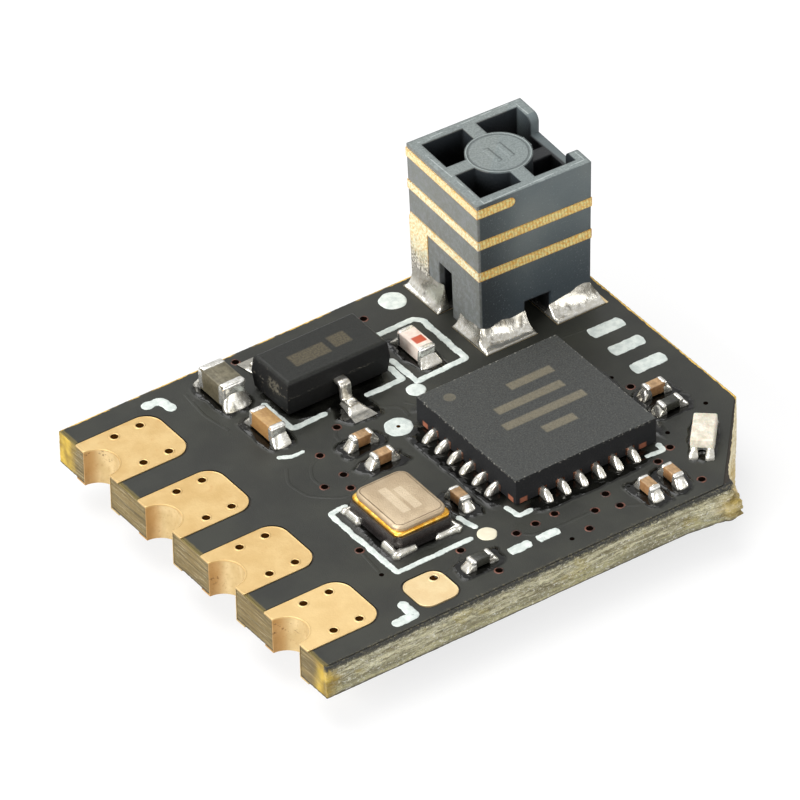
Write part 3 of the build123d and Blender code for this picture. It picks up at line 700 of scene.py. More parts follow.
resin, at = start("moulding_resin")
x, y, z = axes(at, RADIO)
fine = noise(at, 24, 3, 0.7)
pale = rise(noise(at, 36, 2), 0.60, 0.72)
top = rise(z, 2.575, 2.585)
arris = rise(highest(abs(x), abs(y)), 1.95, 1.99) * rise(z, 2.52, 2.56)
chipped = arris * rise(noise(at, 17, 3, 0.7), 0.56, 0.64)
dot = rise(distance(x + 1.40, y - 1.51), 0.17, 0.13)
bars = highest(marks(x, y, RADIO_BARS), dot * 0.6) * top
worn = 0.65 + rise(noise(at, 16, 3, 0.7), 0.36, 0.56) * 0.35
top_tone = blend(rise(fine, 0.3, 0.7), (38, 39, 38), (66, 68, 66))
tone = coated(
    blend(rise(fine, 0.3, 0.7), (3, 4, 6), (13, 13, 16)),
    (top, blend(pale * 0.45, top_tone, (118, 116, 104))),
    (chipped * 0.8, (170, 168, 158)),
    (marks(x, y, TIE_BARS) * rise(z, 2.05, 2.01) * rise(z, 1.70, 1.80), (150, 90, 66)),
    (bars * worn * 0.33, (170, 158, 128)),
)
surface(
    at,
    Base_Color=tone,
    Roughness=0.80 - top * 0.22 - bars * 0.1,
    Specular_IOR_Level=0.42,
    Normal=relief(fine + pale * 0.4 - bars * 0.3, 0.012, 0.03),
)
dress(resin, "radio_body", "controller_body")

lead_copper, at = start("cut_copper_lead")
tone = blend(rise(noise(at, 20, 3), 0.35, 0.7), (84, 54, 40), (150, 96, 70))
surface(at, Base_Color=tone, Metallic=0.9, Roughness=0.42, Normal=relief(noise(at, 40, 2), 0.01))
dress(lead_copper, "radio_leads", "controller_leads")


def solder(name, dark_reflection_streaks, lumps):
    """Solder of a smooth bright skin. Where it climbs, dark streaks and a darker upper part are painted in as
    reflections, as much as the second argument asks.
    """
    material, at = start(name)
    z = axes(at)[2]
    ripple = noise(at, 2.2, 2, 0.4)
    dull = noise(at, 12, 3)
    streaks = noise(stretch(at, 2.6, 2.6, 0.6), 1.5, 4, 0.55)
    from_foot = abs(z - (TOPSIDE + UNDERSIDE) / 2) - (TOPSIDE - UNDERSIDE) / 2 - dull * 0.05
    tone = coated(
        blend(rise(dull, 0.35, 0.75), (220, 216, 204), (242, 240, 233)),
        (rise(ripple, 0.56, 0.72) * 0.3, (128, 120, 100)),
        # Painted reflection: dark streaks and a darker upper part where the solder climbs.
        (rise(streaks, 0.50, 0.68) * rise(z, 1.88, 2.02) * dark_reflection_streaks, (70, 64, 52)),
        (rise(z + ripple * 0.3, 2.10, 2.36) * dark_reflection_streaks * 0.75, (104, 98, 84)),
        (rise(from_foot, 0.035, -0.02) * 0.8, (52, 48, 40)),
    )
    rough = 0.20 + rise(dull, 0.45, 0.8) * 0.10
    bumps = relief(ripple + streaks * dark_reflection_streaks, lumps)
    surface(at, Base_Color=tone, Metallic=0.85, Roughness=rough, Normal=bumps)
    return material


bright_solder = solder("bright_solder", 0.0, 0.03)
foot_solder = solder("foot_solder", 0.8, 0.024)


def seat(part, x, y, turn, up=True):
    """The part, drawn on a flat plane, turned and set on the upper mask, or on the lower one facing down."""
    points, faces = part
    c, s = np.cos(np.radians(turn)), np.sin(np.radians(turn))
    turned = points @ np.array([[c, s, 0], [-s, c, 0], [0, 0, 1 if up else -1]])
    return turned + [x, y, TOPSIDE if up else UNDERSIDE], faces


def drop(length, width, height, seed, power=2.0, swell=0.0):
    """A solder joint that runs out along x: half ellipses across it, whose height falls towards the toe and
    whose width swells and closes there, with small lumps."""
    run_out = np.linspace(0, 1, 13) ** 0.8
    angle = np.linspace(0, np.pi, 13)
    half = width / 2 * (1 + swell * run_out) * np.sqrt(np.clip(1 - run_out ** 9, 0.03, 1))
    tall = height * np.clip(1 - run_out ** power, 0.02, 1)
    lump = 1 + 0.04 * waves(run_out[:, None] * 0.9 + seed, angle[None] * 0.35, seed)
    px = length * run_out[:, None] * np.ones_like(angle)
    py = half[:, None] * squarish(np.cos(angle), 0.8)[None] * lump
    pz = tall[:, None] * np.sin(angle)[None] ** 0.7 * lump
    return skin(np.stack([px, py, pz], axis=2))


def package_joints(x, y, side, leads, up):
    """The solder joints of a flat package: one drop for each lead, a pitch apart, along all four sides."""
    joints = []
    for face in range(4):
        for lead in range(leads):
            joint = drop(*JOINT_SIZE, 7 * face + lead, 2.5, 0.06)
            joint = move(joint, side / 2 - 0.02, (lead - (leads - 1) / 2) * LEAD_PITCH, 0)
            joints.append(seat(joint, x, y, 90 * face, up))
    return joints


make("radio_joints", "solder", bright_solder, package_joints(*RADIO, RADIO_SIDE, 6, True), "radio_solder")
under_joints = package_joints(0, 0, CONTROLLER_SIDE, 8, False)
make("controller_joints", "solder", bright_solder, under_joints, "controller_solder")


# REGULATOR: a small black moulding, drafted from the level of its three tinned leads, which bend down to
# their pads and sit in wedges of solder.

REGULATOR = (LEFT + 6.02, FRONT + 8.88)
REGULATOR_TOP = 2.80
BODY_BARS = ((-0.35, -0.05, 0.50, 0.22), (0.55, 0.02, 0.24, 0.22))
# A lead's middle line, as reach and level, and then the shift, turn and pad length of each lead
LEAD_LINE = ((0.60, 0.52), (0.99, 0.53), (1.01, 0.11), (1.38, 0.10))
LEAD_SPOTS = ((0, -90, 0.83), (-0.95, 90, 0.64), (0.95, 90, 0.64))
LEAD_SECTION = (0.30, 0.13)
WEDGE_START = 1.03
WEDGE_SIZE = (0.64, 0.17)

regulator_resin, at = start("regulator_moulding")
x, y, z = axes(at, REGULATOR)
fine = noise(at, 30, 3, 0.7)
cloud = noise(at, 3, 3)
upper = rise(z, REGULATOR_TOP - 0.06, REGULATOR_TOP)
bars = marks(x, y, BODY_BARS) * (0.45 + rise(noise(at, 22, 3, 0.7), 0.40, 0.60) * 0.55)
on_left = rise(x, -1.36, -1.42)
left_end_glints = rise(noise(at, 9, 4, 0.7), 0.62, 0.70) * on_left
torn = rise(noise(stretch(at, 1, 1, 3), 10, 4, 0.75), 0.50, 0.62)
seam = rise(z, 2.37, 2.39) * rise(z, 2.44, 2.42) * torn * rise(noise(at, 1.3, 2), 0.42, 0.54)
gate = on_left * marks(y, z, ((-0.15, 2.45, 0.22, 0.15),), 0.05) * rise(noise(at, 12, 3, 0.7), 0.42, 0.56)
tone = coated(
    blend(rise(fine, 0.3, 0.7), (5, 5, 5), (13, 13, 12)),
    # Painted light: the top is painted lighter than the sides, standing in for the light that falls on it
    # from above.
    (upper, blend(rise(fine, 0.3, 0.7), (18, 19, 16), (34, 35, 31))),
    (bars * rise(z, REGULATOR_TOP - 0.02, REGULATOR_TOP) * 0.28, (150, 136, 104)),
    # Painted highlights: pale patches on the left end, the face turned to the strongest lamp.
    (left_end_glints * 0.8, (120, 112, 96)),
    (seam * 0.6, (120, 116, 104)),
    (gate * 0.5, (118, 112, 96)),
)
surface(
    at,
    Base_Color=tone,
    Roughness=0.56 - upper * 0.20 + fine * 0.12,
    Specular_IOR_Level=0.30,
    Normal=relief(fine + cloud + left_end_glints + gate * 2, 0.006, 0.05),
)
dress(regulator_resin, "regulator_body")

tin, at = start("tinned_metal")
brushed = noise(stretch(at, 9, 9, 30), 1, 3)
tone = blend(rise(noise(at, 6, 4, 0.6), 0.34, 0.7), (186, 180, 166), (236, 233, 226))
surface(at, Base_Color=tone, Metallic=0.95, Roughness=0.28, Normal=relief(brushed + noise(at, 6, 3), 0.01))


def bent_lead(width, thick):
    """A gull-wing lead: a rounded bar carried along a line that leaves the body level, bends down and ends
    in a foot. The bends come from averaging neighbouring points of the line."""
    line = smooth(even(LEAD_LINE, 0.02), 12)
    up = -sideways(line)
    angle = np.linspace(0, 2 * np.pi, 20, endpoint=False)
    py = np.broadcast_to(width / 2 * squarish(np.cos(angle), 0.45), (len(line), 20))
    high = thick / 2 * squarish(np.sin(angle), 0.45)
    px = line[:, :1] + up[:, :1] * high
    pz = line[:, 1:] + up[:, 1:] * high
    return skin(np.stack([px, py, pz], axis=2))


def wedge(length, width, height, seed):
    """A pad of solder drawn up to a lead's foot: a sheet over the pad, highest at the foot, whose height
    falls off in a hollow curve to the pad's edges."""
    u = np.linspace(-1, 1, 25)[:, None]
    v = np.linspace(-1, 1, 19)[None, :]
    out_u = np.clip((u + 0.55) / 0.9, 0, 1)
    out_v = np.clip((np.abs(v) - 0.42) / 0.58, 0, 1)
    lump = 1 + 0.06 * waves(u * 0.7, v * 0.6, seed)
    pz = 0.03 + height * (1 - np.maximum(out_u, out_v)) ** 1.5 * lump
    px = length / 2 * u * np.ones_like(v)
    py = width / 2 * v * (0.80 + 0.20 * u)
    base = np.stack([px[:, [-1, 0]], py[:, [-1, 0]], np.zeros((25, 2))], axis=2)
    return skin(np.concatenate([np.stack([px, py, pz], axis=2), base], axis=1))


leads = []
wedges = []
for index, (shift, turn, length) in enumerate(LEAD_SPOTS):
    spot = (REGULATOR[0] + shift, REGULATOR[1], turn)
    leads.append(seat(bent_lead(*LEAD_SECTION), *spot))
    pad = move(wedge(length, *WEDGE_SIZE, 40 + index), WEDGE_START + length / 2, 0, 0)
    wedges.append(seat(pad, *spot))
make("regulator_bent_leads", "tinned_lead", tin, leads, "regulator_leads")
make("regulator_wedges", "solder", bright_solder, wedges, "regulator_solder")


# CRYSTALS: a black glazed ceramic tray with hollowed corners, a gold ring brazed round its rim and a nickel
# lid welded to the ring. Solder wets the four pads under its corners.

RADIO_CRYSTAL = (LEFT + 4.45, FRONT + 3.37)
CONTROLLER_CRYSTAL = (LEFT + 11.20, 0.0)
CRYSTAL_SIZE = (1.64, 2.04)
LID_BARS = ((-0.16, 0.02, 0.11, 0.52), (0.16, -0.06, 0.11, 0.44))
PRESS_LINE = (0.72, 0.92, 0.25)
RING_CORNER = 0.20
LID_CORNER = 0.32
CORNER_BEAD = (0.10, 0.17)
# Inset from the tray's side and level over the mask, and then the line of the solder round a corner
RING_PROFILE = ((0.10, 0.455), (0.055, 0.465), (0.045, 0.50), (0.055, 0.530), (0.09, 0.550), (0.17, 0.556))
LID_PROFILE = (
    (0.13, 0.545), (0.100, 0.555), (0.092, 0.60), (0.096, 0.645), (0.112, 0.675), (0.137, 0.692),
    (0.17, 0.699), (0.45, 0.700),
)
CORNER_LINE = ((0.82, 0.44), (0.84, 0.98), (0.90, 1.08), (0.80, 1.02), (0.25, 1.02))

black_ceramic, at = start("black_glazed_ceramic")
tone = blend(noise(at, 8, 3), (34, 29, 28), (58, 50, 48))
# Painted shade: the tray is darker towards the bottom.
tone = blend(rise(axes(at)[2], 2.16, 2.02) * 0.75, tone, (14, 12, 12))
surface(at, Base_Color=tone, Roughness=0.25, Normal=relief(noise(at, 5, 3), 0.008, 0.03))
dress(black_ceramic, "radio_crystal_tray", "controller_crystal_tray")

braze, at = start("brazed_gold_ring")
tone = blend(rise(noise(at, 7, 3), 0.35, 0.7), (222, 160, 52), (255, 214, 112))
surface(at, Base_Color=tone, Metallic=0.9, Roughness=0.30, Normal=relief(noise(at, 9, 3), 0.005))


def rounded_edge(x, y, half_x, half_y, radius):
    """How far a point lies outside a rounded rectangle about the origin, and less than 0 inside it: its
    distance from the rectangle drawn in by the radius, less the radius."""
    across = abs(x) - (half_x - radius)
    along = abs(y) - (half_y - radius)
    inside = x.math("MINIMUM", highest(across, along), 0)
    return distance(highest(across, 0), highest(along, 0)) + inside - radius


lid_nickel, at = start("lid_nickel")
x, y, z = axes(at, RADIO_CRYSTAL)
fine = noise(at, 26, 3, 0.6)
on_lid = rise(z, 2.52, 2.54)
from_edge = rounded_edge(x, y, *PRESS_LINE)
pressed = rise(from_edge, -0.095, -0.080) * rise(from_edge, -0.060, -0.075) * on_lid
bars = marks(x, y, LID_BARS, 0.02) * on_lid * (0.75 + rise(noise(at, 14, 2), 0.30, 0.46) * 0.25)
tone = coated(
    blend(rise(noise(at, 1.6, 4), 0.3, 0.7), (174, 154, 126), (192, 173, 145)),
    (rise(fine, 0.60, 0.72) * 0.3, (140, 121, 97)),
    (pressed * 0.6, (92, 74, 54)),
    (bars * 0.38, (232, 216, 188)),
)
bumps = relief(fine - pressed * 1.5, 0.01)
surface(at, Base_Color=tone, Metallic=0.65, Roughness=0.42 + fine * 0.1, Normal=bumps)


def stack(width, length, corner, profile):
    """A flat rounded form: rounded rectangles drawn in by each inset of the profile, at its levels."""
    rings = []
    for inset, level in profile:
        r = max(corner - inset * 0.6, 0.02)
        flat = rounded(0, 0, width / 2 - inset - r, length / 2 - inset - r, r, 7)
        rings.append(np.column_stack([flat, np.full(len(flat), level)]))
    return skin(np.array(rings))


rings = []
lids = []
corner_joints = []
for x, y, up in ((*RADIO_CRYSTAL, True), (*CONTROLLER_CRYSTAL, False)):
    rings.append(seat(stack(*CRYSTAL_SIZE, RING_CORNER, RING_PROFILE), x, y, 0, up))
    lids.append(seat(stack(*CRYSTAL_SIZE, LID_CORNER, LID_PROFILE), x, y, 0, up))
    for sx, sy in ((1, 1), (-1, 1), (-1, -1), (1, -1)):
        bend = smooth(even(CORNER_LINE, 0.025) * [sx, sy], 3)
        along = np.linspace(0, 1, len(bend))
        lumpy = 1 + 0.12 * waves(along * 1.3, along * 0, 500 + 7 * sx + 3 * sy)
        swell = np.clip(np.minimum(along, 1 - along) / 0.06, 0.1, 1) ** 0.6 * lumpy
        bead = tube(bend, CORNER_BEAD[0] * swell, CORNER_BEAD[1] * swell, 11, False)
        corner_joints.append(seat(bead, x, y, 0, up))
make("crystal_rings", "seal_gold", braze, rings, "radio_crystal_seal_ring", "controller_crystal_seal_ring")
make("crystal_lids", "lid_metal", lid_nickel, lids, "radio_crystal_lid", "controller_crystal_lid")
crystal_solder = ("radio_crystal_solder", "controller_crystal_solder")
make("crystal_joints", "solder", bright_solder, corner_joints, *crystal_solder)


# CHIP PARTS: capacitors are sintered ceramic blocks, resistors black film on ceramic, and the antenna filter
# a pale ceramic block with a red mark. Fired and tinned cups wrap both ends, and hollow joints of solder
# climb them.


def ceramic(name, low, high, beside, rough=0.42):
    """A fired ceramic with cloudy colour and a fine grain. Its upright sides, where the face's direction has
    little of z, are painted in another tone that stands in for how light falls on them: darker than the top
    on the ceramics, lighter on the black film."""
    material, at = start(name)
    cloud = noise(at, 7, 4, 0.6) * 0.6 + noise(stretch(at, 10, 1.2, 3), 1.5, 3) * 0.4
    upright = rise(abs(axes(at.node("ShaderNodeNewGeometry", out="Normal"))[2]), 0.75, 0.35)
    # Painted light and shade: the upright sides take the tone given as beside.
    tone = blend(upright * 0.6, blend(rise(cloud, 0.35, 0.65), low, high), beside)
    surface(at, Base_Color=tone, Roughness=rough, Normal=relief(noise(at, 26, 3), 0.012))
    return material


brown = ceramic("brown_ceramic", (138, 108, 72), (188, 152, 110), (134, 90, 50))
sand = ceramic("tan_ceramic", (156, 118, 70), (182, 146, 92), (132, 92, 48))
grey = ceramic("grey_ceramic", (80, 74, 55), (118, 111, 89), (66, 60, 44))
black_film = ceramic("black_film", (26, 27, 23), (50, 51, 42), (62, 62, 54), 0.30)

RED_MARK = (8.45, 8.34, 0.15, 0.13)
pink, at = start("pale_filter_ceramic")
x, y, z = axes(at, (LEFT, FRONT))
red_mark = marks(x, y, (RED_MARK,), 0.02) * rise(z, 2.20, 2.24)
tone = blend(rise(noise(at, 6, 3), 0.3, 0.7), (226, 204, 190), (244, 230, 218))
surface(at, Base_Color=blend(red_mark, tone, (186, 78, 48)), Roughness=0.4)

end_tin, at = start("tinned_end_cup")
tone = blend(rise(noise(at, 9, 4, 0.6), 0.34, 0.68), (206, 204, 196), (244, 243, 238))
surface(at, Base_Color=tone, Metallic=0.8, Roughness=0.26, Normal=relief(noise(at, 5, 3, 0.5), 0.012))


def rounded_block(length, width, height, radius, bottom=0.0, steps=5):
    """A block with round edges, centred on its base. Each point of a ball's grid lies at the corner of the
    inner block on its side, plus the radius along its direction."""
    quarter = np.radians(np.linspace(0, 90, steps))
    spin = np.concatenate([quarter + k * np.pi / 2 for k in range(4)])
    sx = np.repeat([1, -1, -1, 1], steps)
    sy = np.repeat([1, 1, -1, -1], steps)
    tilt = np.concatenate([quarter - np.pi / 2, quarter])
    sz = np.repeat([-1, 1], steps)
    px = sx[None] * (length / 2 - radius) + radius * np.cos(tilt)[:, None] * np.cos(spin)[None]
    py = sy[None] * (width / 2 - radius) + radius * np.cos(tilt)[:, None] * np.sin(spin)[None]
    pz = (sz * (height / 2 - radius) + radius * np.sin(tilt))[:, None] * np.ones((1, 4 * steps))
    return skin(np.stack([px, py, pz + bottom + height / 2], axis=2))


# Length, width, height and length of an end, and then each part's name, place, turn, size, material and slot
SMALL = (0.58, 0.30, 0.30, 0.14)
FLAT = (0.62, 0.30, 0.24, 0.15)
SUPPLY = (1.08, 0.67, 0.60, 0.24)
INPUT = (0.98, 0.44, 0.45, 0.20)
FILTER = (1.00, 0.47, 0.42, 0.18)
CHIPS = (
    ("supply_capacitor", 3.86, 9.83, 90, SUPPLY, grey, "supply_ceramic"),
    ("input_capacitor", 3.88, 7.98, 90, INPUT, sand, "input_ceramic"),
    ("antenna_filter", 8.43, 8.44, 90, FILTER, pink, "filter_ceramic"),
    ("capacitor_1", 5.37, 6.31, 0, SMALL, brown, "capacitor_ceramic"),
    ("capacitor_2", 5.39, 5.47, 0, SMALL, brown, "capacitor_ceramic"),
    ("capacitor_3", 5.94, 3.14, 90, SMALL, brown, "capacitor_ceramic"),
    ("capacitor_4", 11.99, 3.80, 0, SMALL, brown, "capacitor_ceramic"),
    ("capacitor_5", 10.41, 0.90, 90, SMALL, brown, "capacitor_ceramic"),
    ("capacitor_6", 9.69, 0.84, 90, SMALL, brown, "capacitor_ceramic"),
    ("resistor_1", 11.95, 3.13, 0, FLAT, black_film, "resistor_film"),
    ("resistor_2", 5.00, 1.00, 0, FLAT, black_film, "resistor_film"),
    ("underside_capacitors", 3.30, 9.20, 90, SMALL, brown, "capacitor_ceramic"),
    ("underside_capacitors", 10.60, 9.00, 0, SMALL, brown, "capacitor_ceramic"),
)
GAP = 0.04

blocks = {}
cups = {}
fillets = []
for index, (name, x, y, turn, (length, width, height, end), material, slot) in enumerate(CHIPS):
    spot = (LEFT + x, FRONT + y, turn, not name.startswith("underside"))
    block = rounded_block(length - 0.10, width - 0.03, height - 0.025, 0.02, GAP + 0.01, 3)
    blocks.setdefault(name, (slot, material, []))[2].append(seat(block, *spot))
    if width < 0.4:
        toe, inside, climb, power = 0.17, 0.12, height + GAP - 0.01, 1.7
    else:
        toe, inside, climb, power = 0.22, 0.09, height * 0.80, 1.1
    spill = 0.45 if name == "antenna_filter" else 0.18
    for way in (-1, 1):
        points, faces = rounded_block(end, width, height, min(0.075, width * 0.2), GAP)
        wrinkle = 1 + 0.05 * waves(points[:, 0] * 4, points[:, 1] * 4 + points[:, 2] * 3, 60 + index)
        points = points * np.stack([wrinkle * 0 + 1, wrinkle * 0.97, wrinkle * 0 + 1], axis=1)
        cup = move((points, faces), way * (length - end) / 2, 0, 0)
        cups.setdefault(name, []).append(seat(cup, *spot))
        fillet = drop(toe + inside, width * 1.02, climb, 200 + 3 * index + way, power, spill)
        fillets.append(seat(move(fillet, way * (length / 2 - inside), 0, 0, [way, way, 1]), *spot))
for name, (slot, material, parts) in blocks.items():
    make(name + "_block", slot, material, parts, name + "_body")
    make(name + "_cups", "end_tin", end_tin, cups[name], name + "_ends")


# INDICATOR LAMP: a cream lens moulded on a thin base, beside the cut corner and turned parallel to it. Its
# metal ends are hollowed, so the solder stands in two small horns at each end.

# Place and turn of the lamp, and then the sizes of its lens and of its solder
LAMP = (LEFT + 11.88, FRONT + 1.68, float(np.degrees(np.arctan2(CUT_Y, CUT_X))))
LENS_SIZE = (1.05, 0.56, 0.25)
LENS_EDGE = 0.045
LENS_BOTTOM = 0.16
HORN_SIZE = (0.29, 0.20, 0.20)
HORN_SPOT = (0.50, 0.19)

lens, at = start("cream_lens")
tone = blend(rise(noise(at, 5, 4, 0.6), 0.3, 0.7), (204, 196, 176), (230, 224, 208))
surface(
    at,
    Base_Color=tone,
    Roughness=0.45,
    Subsurface_Weight=0.15,
    Subsurface_Scale=0.0002,
    Normal=relief(noise(at, 6, 3), 0.04),
)
points, faces = rounded_block(*LENS_SIZE, LENS_EDGE, LENS_BOTTOM)
dent_x = waves(points[:, 1] * 2, points[:, 2] * 3, 71)
dent_y = waves(points[:, 0] * 2, points[:, 2], 72)
points = points + 0.012 * np.stack([dent_x, dent_y, points[:, 2] * 0], axis=1)
make("lamp_lens", "lamp_lens", lens, [seat((points, faces), *LAMP)], "indicator_lamp_lens")
dress(lens, "indicator_lamp_base")
dress(end_tin, "indicator_lamp_ends")
for way in (-1, 1):
    for side in (-1, 1):
        horn = drop(*HORN_SIZE, 300 + 2 * way + side, 1.2, 0.30)
        fillets.append(seat(move(horn, way * HORN_SPOT[0], side * HORN_SPOT[1], 0, [way, way, 1]), *LAMP))
make("chip_fillets", "solder", bright_solder, fillets, "chip_solder")


# TOWER ANTENNA: a block moulded in a dark plastic that takes laser-activated plating, cored with four pockets
# round a boss. A gold helix is plated on its outside, and its four feet are soldered to gold lands.

TOWER = (LEFT + 11.46, FRONT + 9.23)
TOWER_TURN = -2.5
TOWER_TOP = LAND_TOP + 4.04
TOWER_FOOT = (1.535, 1.475)
BOSS_LIP = 0.795
BOSS_BARS = ((-0.18, 0.0, 0.07, 0.30), (0.18, 0.0, 0.07, 0.30))

tower_plastic, at = start("plating_grade_plastic")
x, y, z = axes(at, TOWER)
fine = noise(at, 20, 3, 0.65)
salt = rise(noise(at, 30, 2), 0.64, 0.74)
cloud = noise(at, 0.8, 3)
swirl = noise(stretch(at, 0.6, 2, 1), 4, 4, 0.6)
on_left = rise(y - x, 0.11, 0.15)
painted_shade_low = rise(z + cloud * 0.8, TOWER_TOP - 0.1, LAND_TOP + 0.9)
mottle = rise(noise(at, 7, 4, 0.75), 0.46, 0.58)
beside = rise(x, -0.2, -1.55) * (1 - on_left)
rim_top = rise(z, TOWER_TOP - 0.006, TOWER_TOP - 0.002)
inner = highest(abs(x), abs(y))
out = distance(x, y)
cored = rise(inner, 1.42, 1.36) * rise(z, TOWER_TOP - 0.01, TOWER_TOP - 0.04)
groove_shadow = rise(out, 0.69, 0.71) * rise(out, 0.745, 0.73) * rim_top
lip_highlight = rise(out, 0.745, 0.765) * rise(out, 0.80, 0.785) * rim_top
worn = rise(out, 1.36, 1.40) * rim_top * rise(noise(at, 4, 4, 0.7), 0.54, 0.68)
arris = rise(inner, 1.425, 1.435) * rise(inner, 1.46, 1.45) * rim_top * rise(noise(at, 3, 3), 0.44, 0.54)
tone = coated(
    # Painted light: the left face, turned to the strongest lamp, is painted a lighter tone with lighter
    # mottles.
    blend(on_left, (96, 106, 108), (110, 111, 104)),
    (rise(cloud, 0.35, 0.7) * 0.5, (118, 124, 122)),
    # Painted shade: darker towards the bottom, less so on the lit left face.
    (painted_shade_low * (1 - on_left * 0.7), (52, 62, 68)),
    (mottle * on_left * 0.35, (132, 134, 140)),
    (beside * 0.85, blend(rise(z, LAND_TOP + 0.6, TOWER_TOP), (24, 30, 34), (50, 57, 60))),
    (salt * 0.4, (150, 158, 160)),
    (rim_top * 0.8, blend(rise(fine, 0.35, 0.65), (112, 121, 120), (138, 146, 144))),
    # Painted shade: the pockets grow darker with depth.
    (cored, blend(rise(z, TOWER_TOP - 0.05, TOWER_TOP - 0.7), (30, 36, 40), (5, 6, 8))),
    # Painted shadow and highlight: a dark line inside the boss's raised rim and a light line on it.
    (groove_shadow * 0.5, (62, 70, 72)),
    (lip_highlight * 0.7, (166, 176, 174)),
    (worn * 0.35, (172, 180, 178)),
    # Painted highlight: a broken light line along the top's outer edge.
    (arris * 0.7, (184, 192, 190)),
    (rise(swirl, 0.56, 0.66) * rim_top * 0.25, (76, 84, 86)),
)
moulded = marks(x, y, BOSS_BARS) * rim_top
shape = fine + salt * 0.3 + lip_highlight * 2.5 - groove_shadow * 1.5 + moulded * 3 + swirl * rim_top
surface(at, Base_Color=tone, Roughness=0.50 + fine * 0.12, Normal=relief(shape, 0.012, 0.09))
dress(tower_plastic, "antenna_body")

helix_gold, at = start("plated_helix")
x, y, z = axes(at, TOWER)
rib = at.node(
    "ShaderNodeTexWave",
    {"wave_type": "BANDS", "bands_direction": "DIAGONAL"},
    {"Vector": stretch(at, 1, 1, 0.15), "Scale": 7.5, "Distortion": 3.0, "Detail": 4.0, "Detail Scale": 2.5},
    out="Fac",
)
grit = noise(at, 16, 4, 0.7)
smoothed = at.node("ShaderNodeBevel", {"samples": 6}, {"Radius": 0.00005})
facing = at.node("ShaderNodeNewGeometry", out="Normal")
bent = 1 - at.node("ShaderNodeVectorMath", {"operation": "DOT_PRODUCT"}, {0: smoothed, 1: facing}, out=1)
on_left = rise(y - x, 0.11, 0.15)
lit_left_gold = blend(rise(grit, 0.36, 0.57), (242, 202, 116), (255, 252, 216))
tone = coated(
    blend(rise(grit, 0.34, 0.60), (250, 190, 84), (255, 242, 170)),
    (rise(rib, 0.50, 0.85) * 0.35, (186, 120, 34)),
    # Painted light: the gold on the left face, turned to the strongest lamp, is painted paler.
    (on_left, blend(rise(z, TOWER_TOP - 0.75, TOWER_TOP - 0.35) * 0.3, lit_left_gold, (250, 206, 104))),
    (rise(bent + grit * 0.04, 0.03, 0.12) * 0.65, (214, 144, 44)),
    (
        rise(z + noise(at, 3, 3) * 0.9, LAND_TOP + 2.0, LAND_TOP + 1.0),
        blend(rise(noise(at, 18, 3, 0.7), 0.42, 0.56), (84, 78, 66), (232, 226, 214)),
    ),
)
surface(
    at,
    Base_Color=tone,
    Metallic=0.45,
    Roughness=0.40 + grit * 0.1,
    Normal=relief(grit + rib * 0.6, 0.025),
)
dress(helix_gold, "antenna_trace")

LANDS = (LEFT + 11.44, FRONT + 9.04)
LAND_REACH = (0.735, 0.715)
LAND_OFFSET = (1.025, 1.005)
# How far the solder spreads from the tower's foot on each side, and how high it climbs there
SPREAD_LEFT = 0.24
SPREAD_RIGHT = 0.22
SPREAD_FRONT = 0.44
SPREAD_BACK = 0.06
CLIMB = 0.40
MORE_AT_BACK_LEFT = 0.22
tower_joints = []
for index, (sx, sy) in enumerate(((-1, -1), (1, -1), (-1, 1), (1, 1))):
    reach_x, reach_y = LAND_REACH
    far_x = 0.66 if (sx, sy) == (1, -1) else reach_x
    gx = np.linspace(-reach_x, far_x, 60)[:, None] + sx * LAND_OFFSET[0] + LANDS[0]
    gy = np.linspace(-reach_y, reach_y, 58)[None, :] + sy * LAND_OFFSET[1] + LANDS[1]
    gx, gy = np.broadcast_arrays(gx, gy)
    # How far each point lies outside the tower's foot, along the tower's own axes
    c, s = np.cos(np.radians(TOWER_TURN)), np.sin(np.radians(TOWER_TURN))
    beyond_u = np.abs((gx - TOWER[0]) * c + (gy - TOWER[1]) * s) - TOWER_FOOT[0]
    beyond_v = np.abs((gy - TOWER[1]) * c - (gx - TOWER[0]) * s) - TOWER_FOOT[1]
    beyond = np.maximum(beyond_u, beyond_v)
    spread_x = SPREAD_LEFT if sx < 0 else SPREAD_RIGHT
    spread_y = SPREAD_FRONT if sy < 0 else SPREAD_BACK
    spread = np.where(beyond_v > beyond_u, spread_y, spread_x)
    climb = CLIMB + 0.10 * waves(gx * 0.8, gy * 0.8, 400 + index)
    climb = climb + (MORE_AT_BACK_LEFT if (sx, sy) == (-1, 1) else 0)
    high = climb * np.clip(1 - beyond / spread, 0, 1) ** 2.2
    high = np.where(beyond < 0, climb * np.clip(1 + beyond / 0.12, 0, 1), high)
    from_rim = np.minimum(
        np.minimum(gx - gx.min(), gx.max() - gx),
        np.minimum(gy - gy.min(), gy.max() - gy),
    )
    lumps = 0.010 * waves(gx * 1.1, gy * 1.1, 410 + index) * np.clip(from_rim / 0.1, 0, 1)
    fall = np.clip(from_rim / 0.06 + 0.1, 0, 1) ** 0.6
    pz = LAND_TOP + (high + np.maximum(lumps, -0.3 * high) + 0.035) * fall
    top = np.stack([gx, gy, pz], axis=2)
    base = top[:, [-1, 0]] * [1, 1, 0] + [0, 0, LAND_TOP]
    tower_joints.append(skin(np.concatenate([top, base], axis=1)))
make("tower_joints", "solder", foot_solder, tower_joints, "antenna_solder")
boss_rim = tube(arc(*TOWER, BOSS_LIP, 0, 360, 73)[:-1], 0.014, 0.01)
make("boss_rim", "antenna_moulding", tower_plastic, [move(boss_rim, 0, 0, TOWER_TOP - 0.012)])


# FLUX RESIDUE: clear resin left by the solder paste. It dried in thin glossy pools with a wrinkled skin round
# the joints, so the mask looks blacker there.

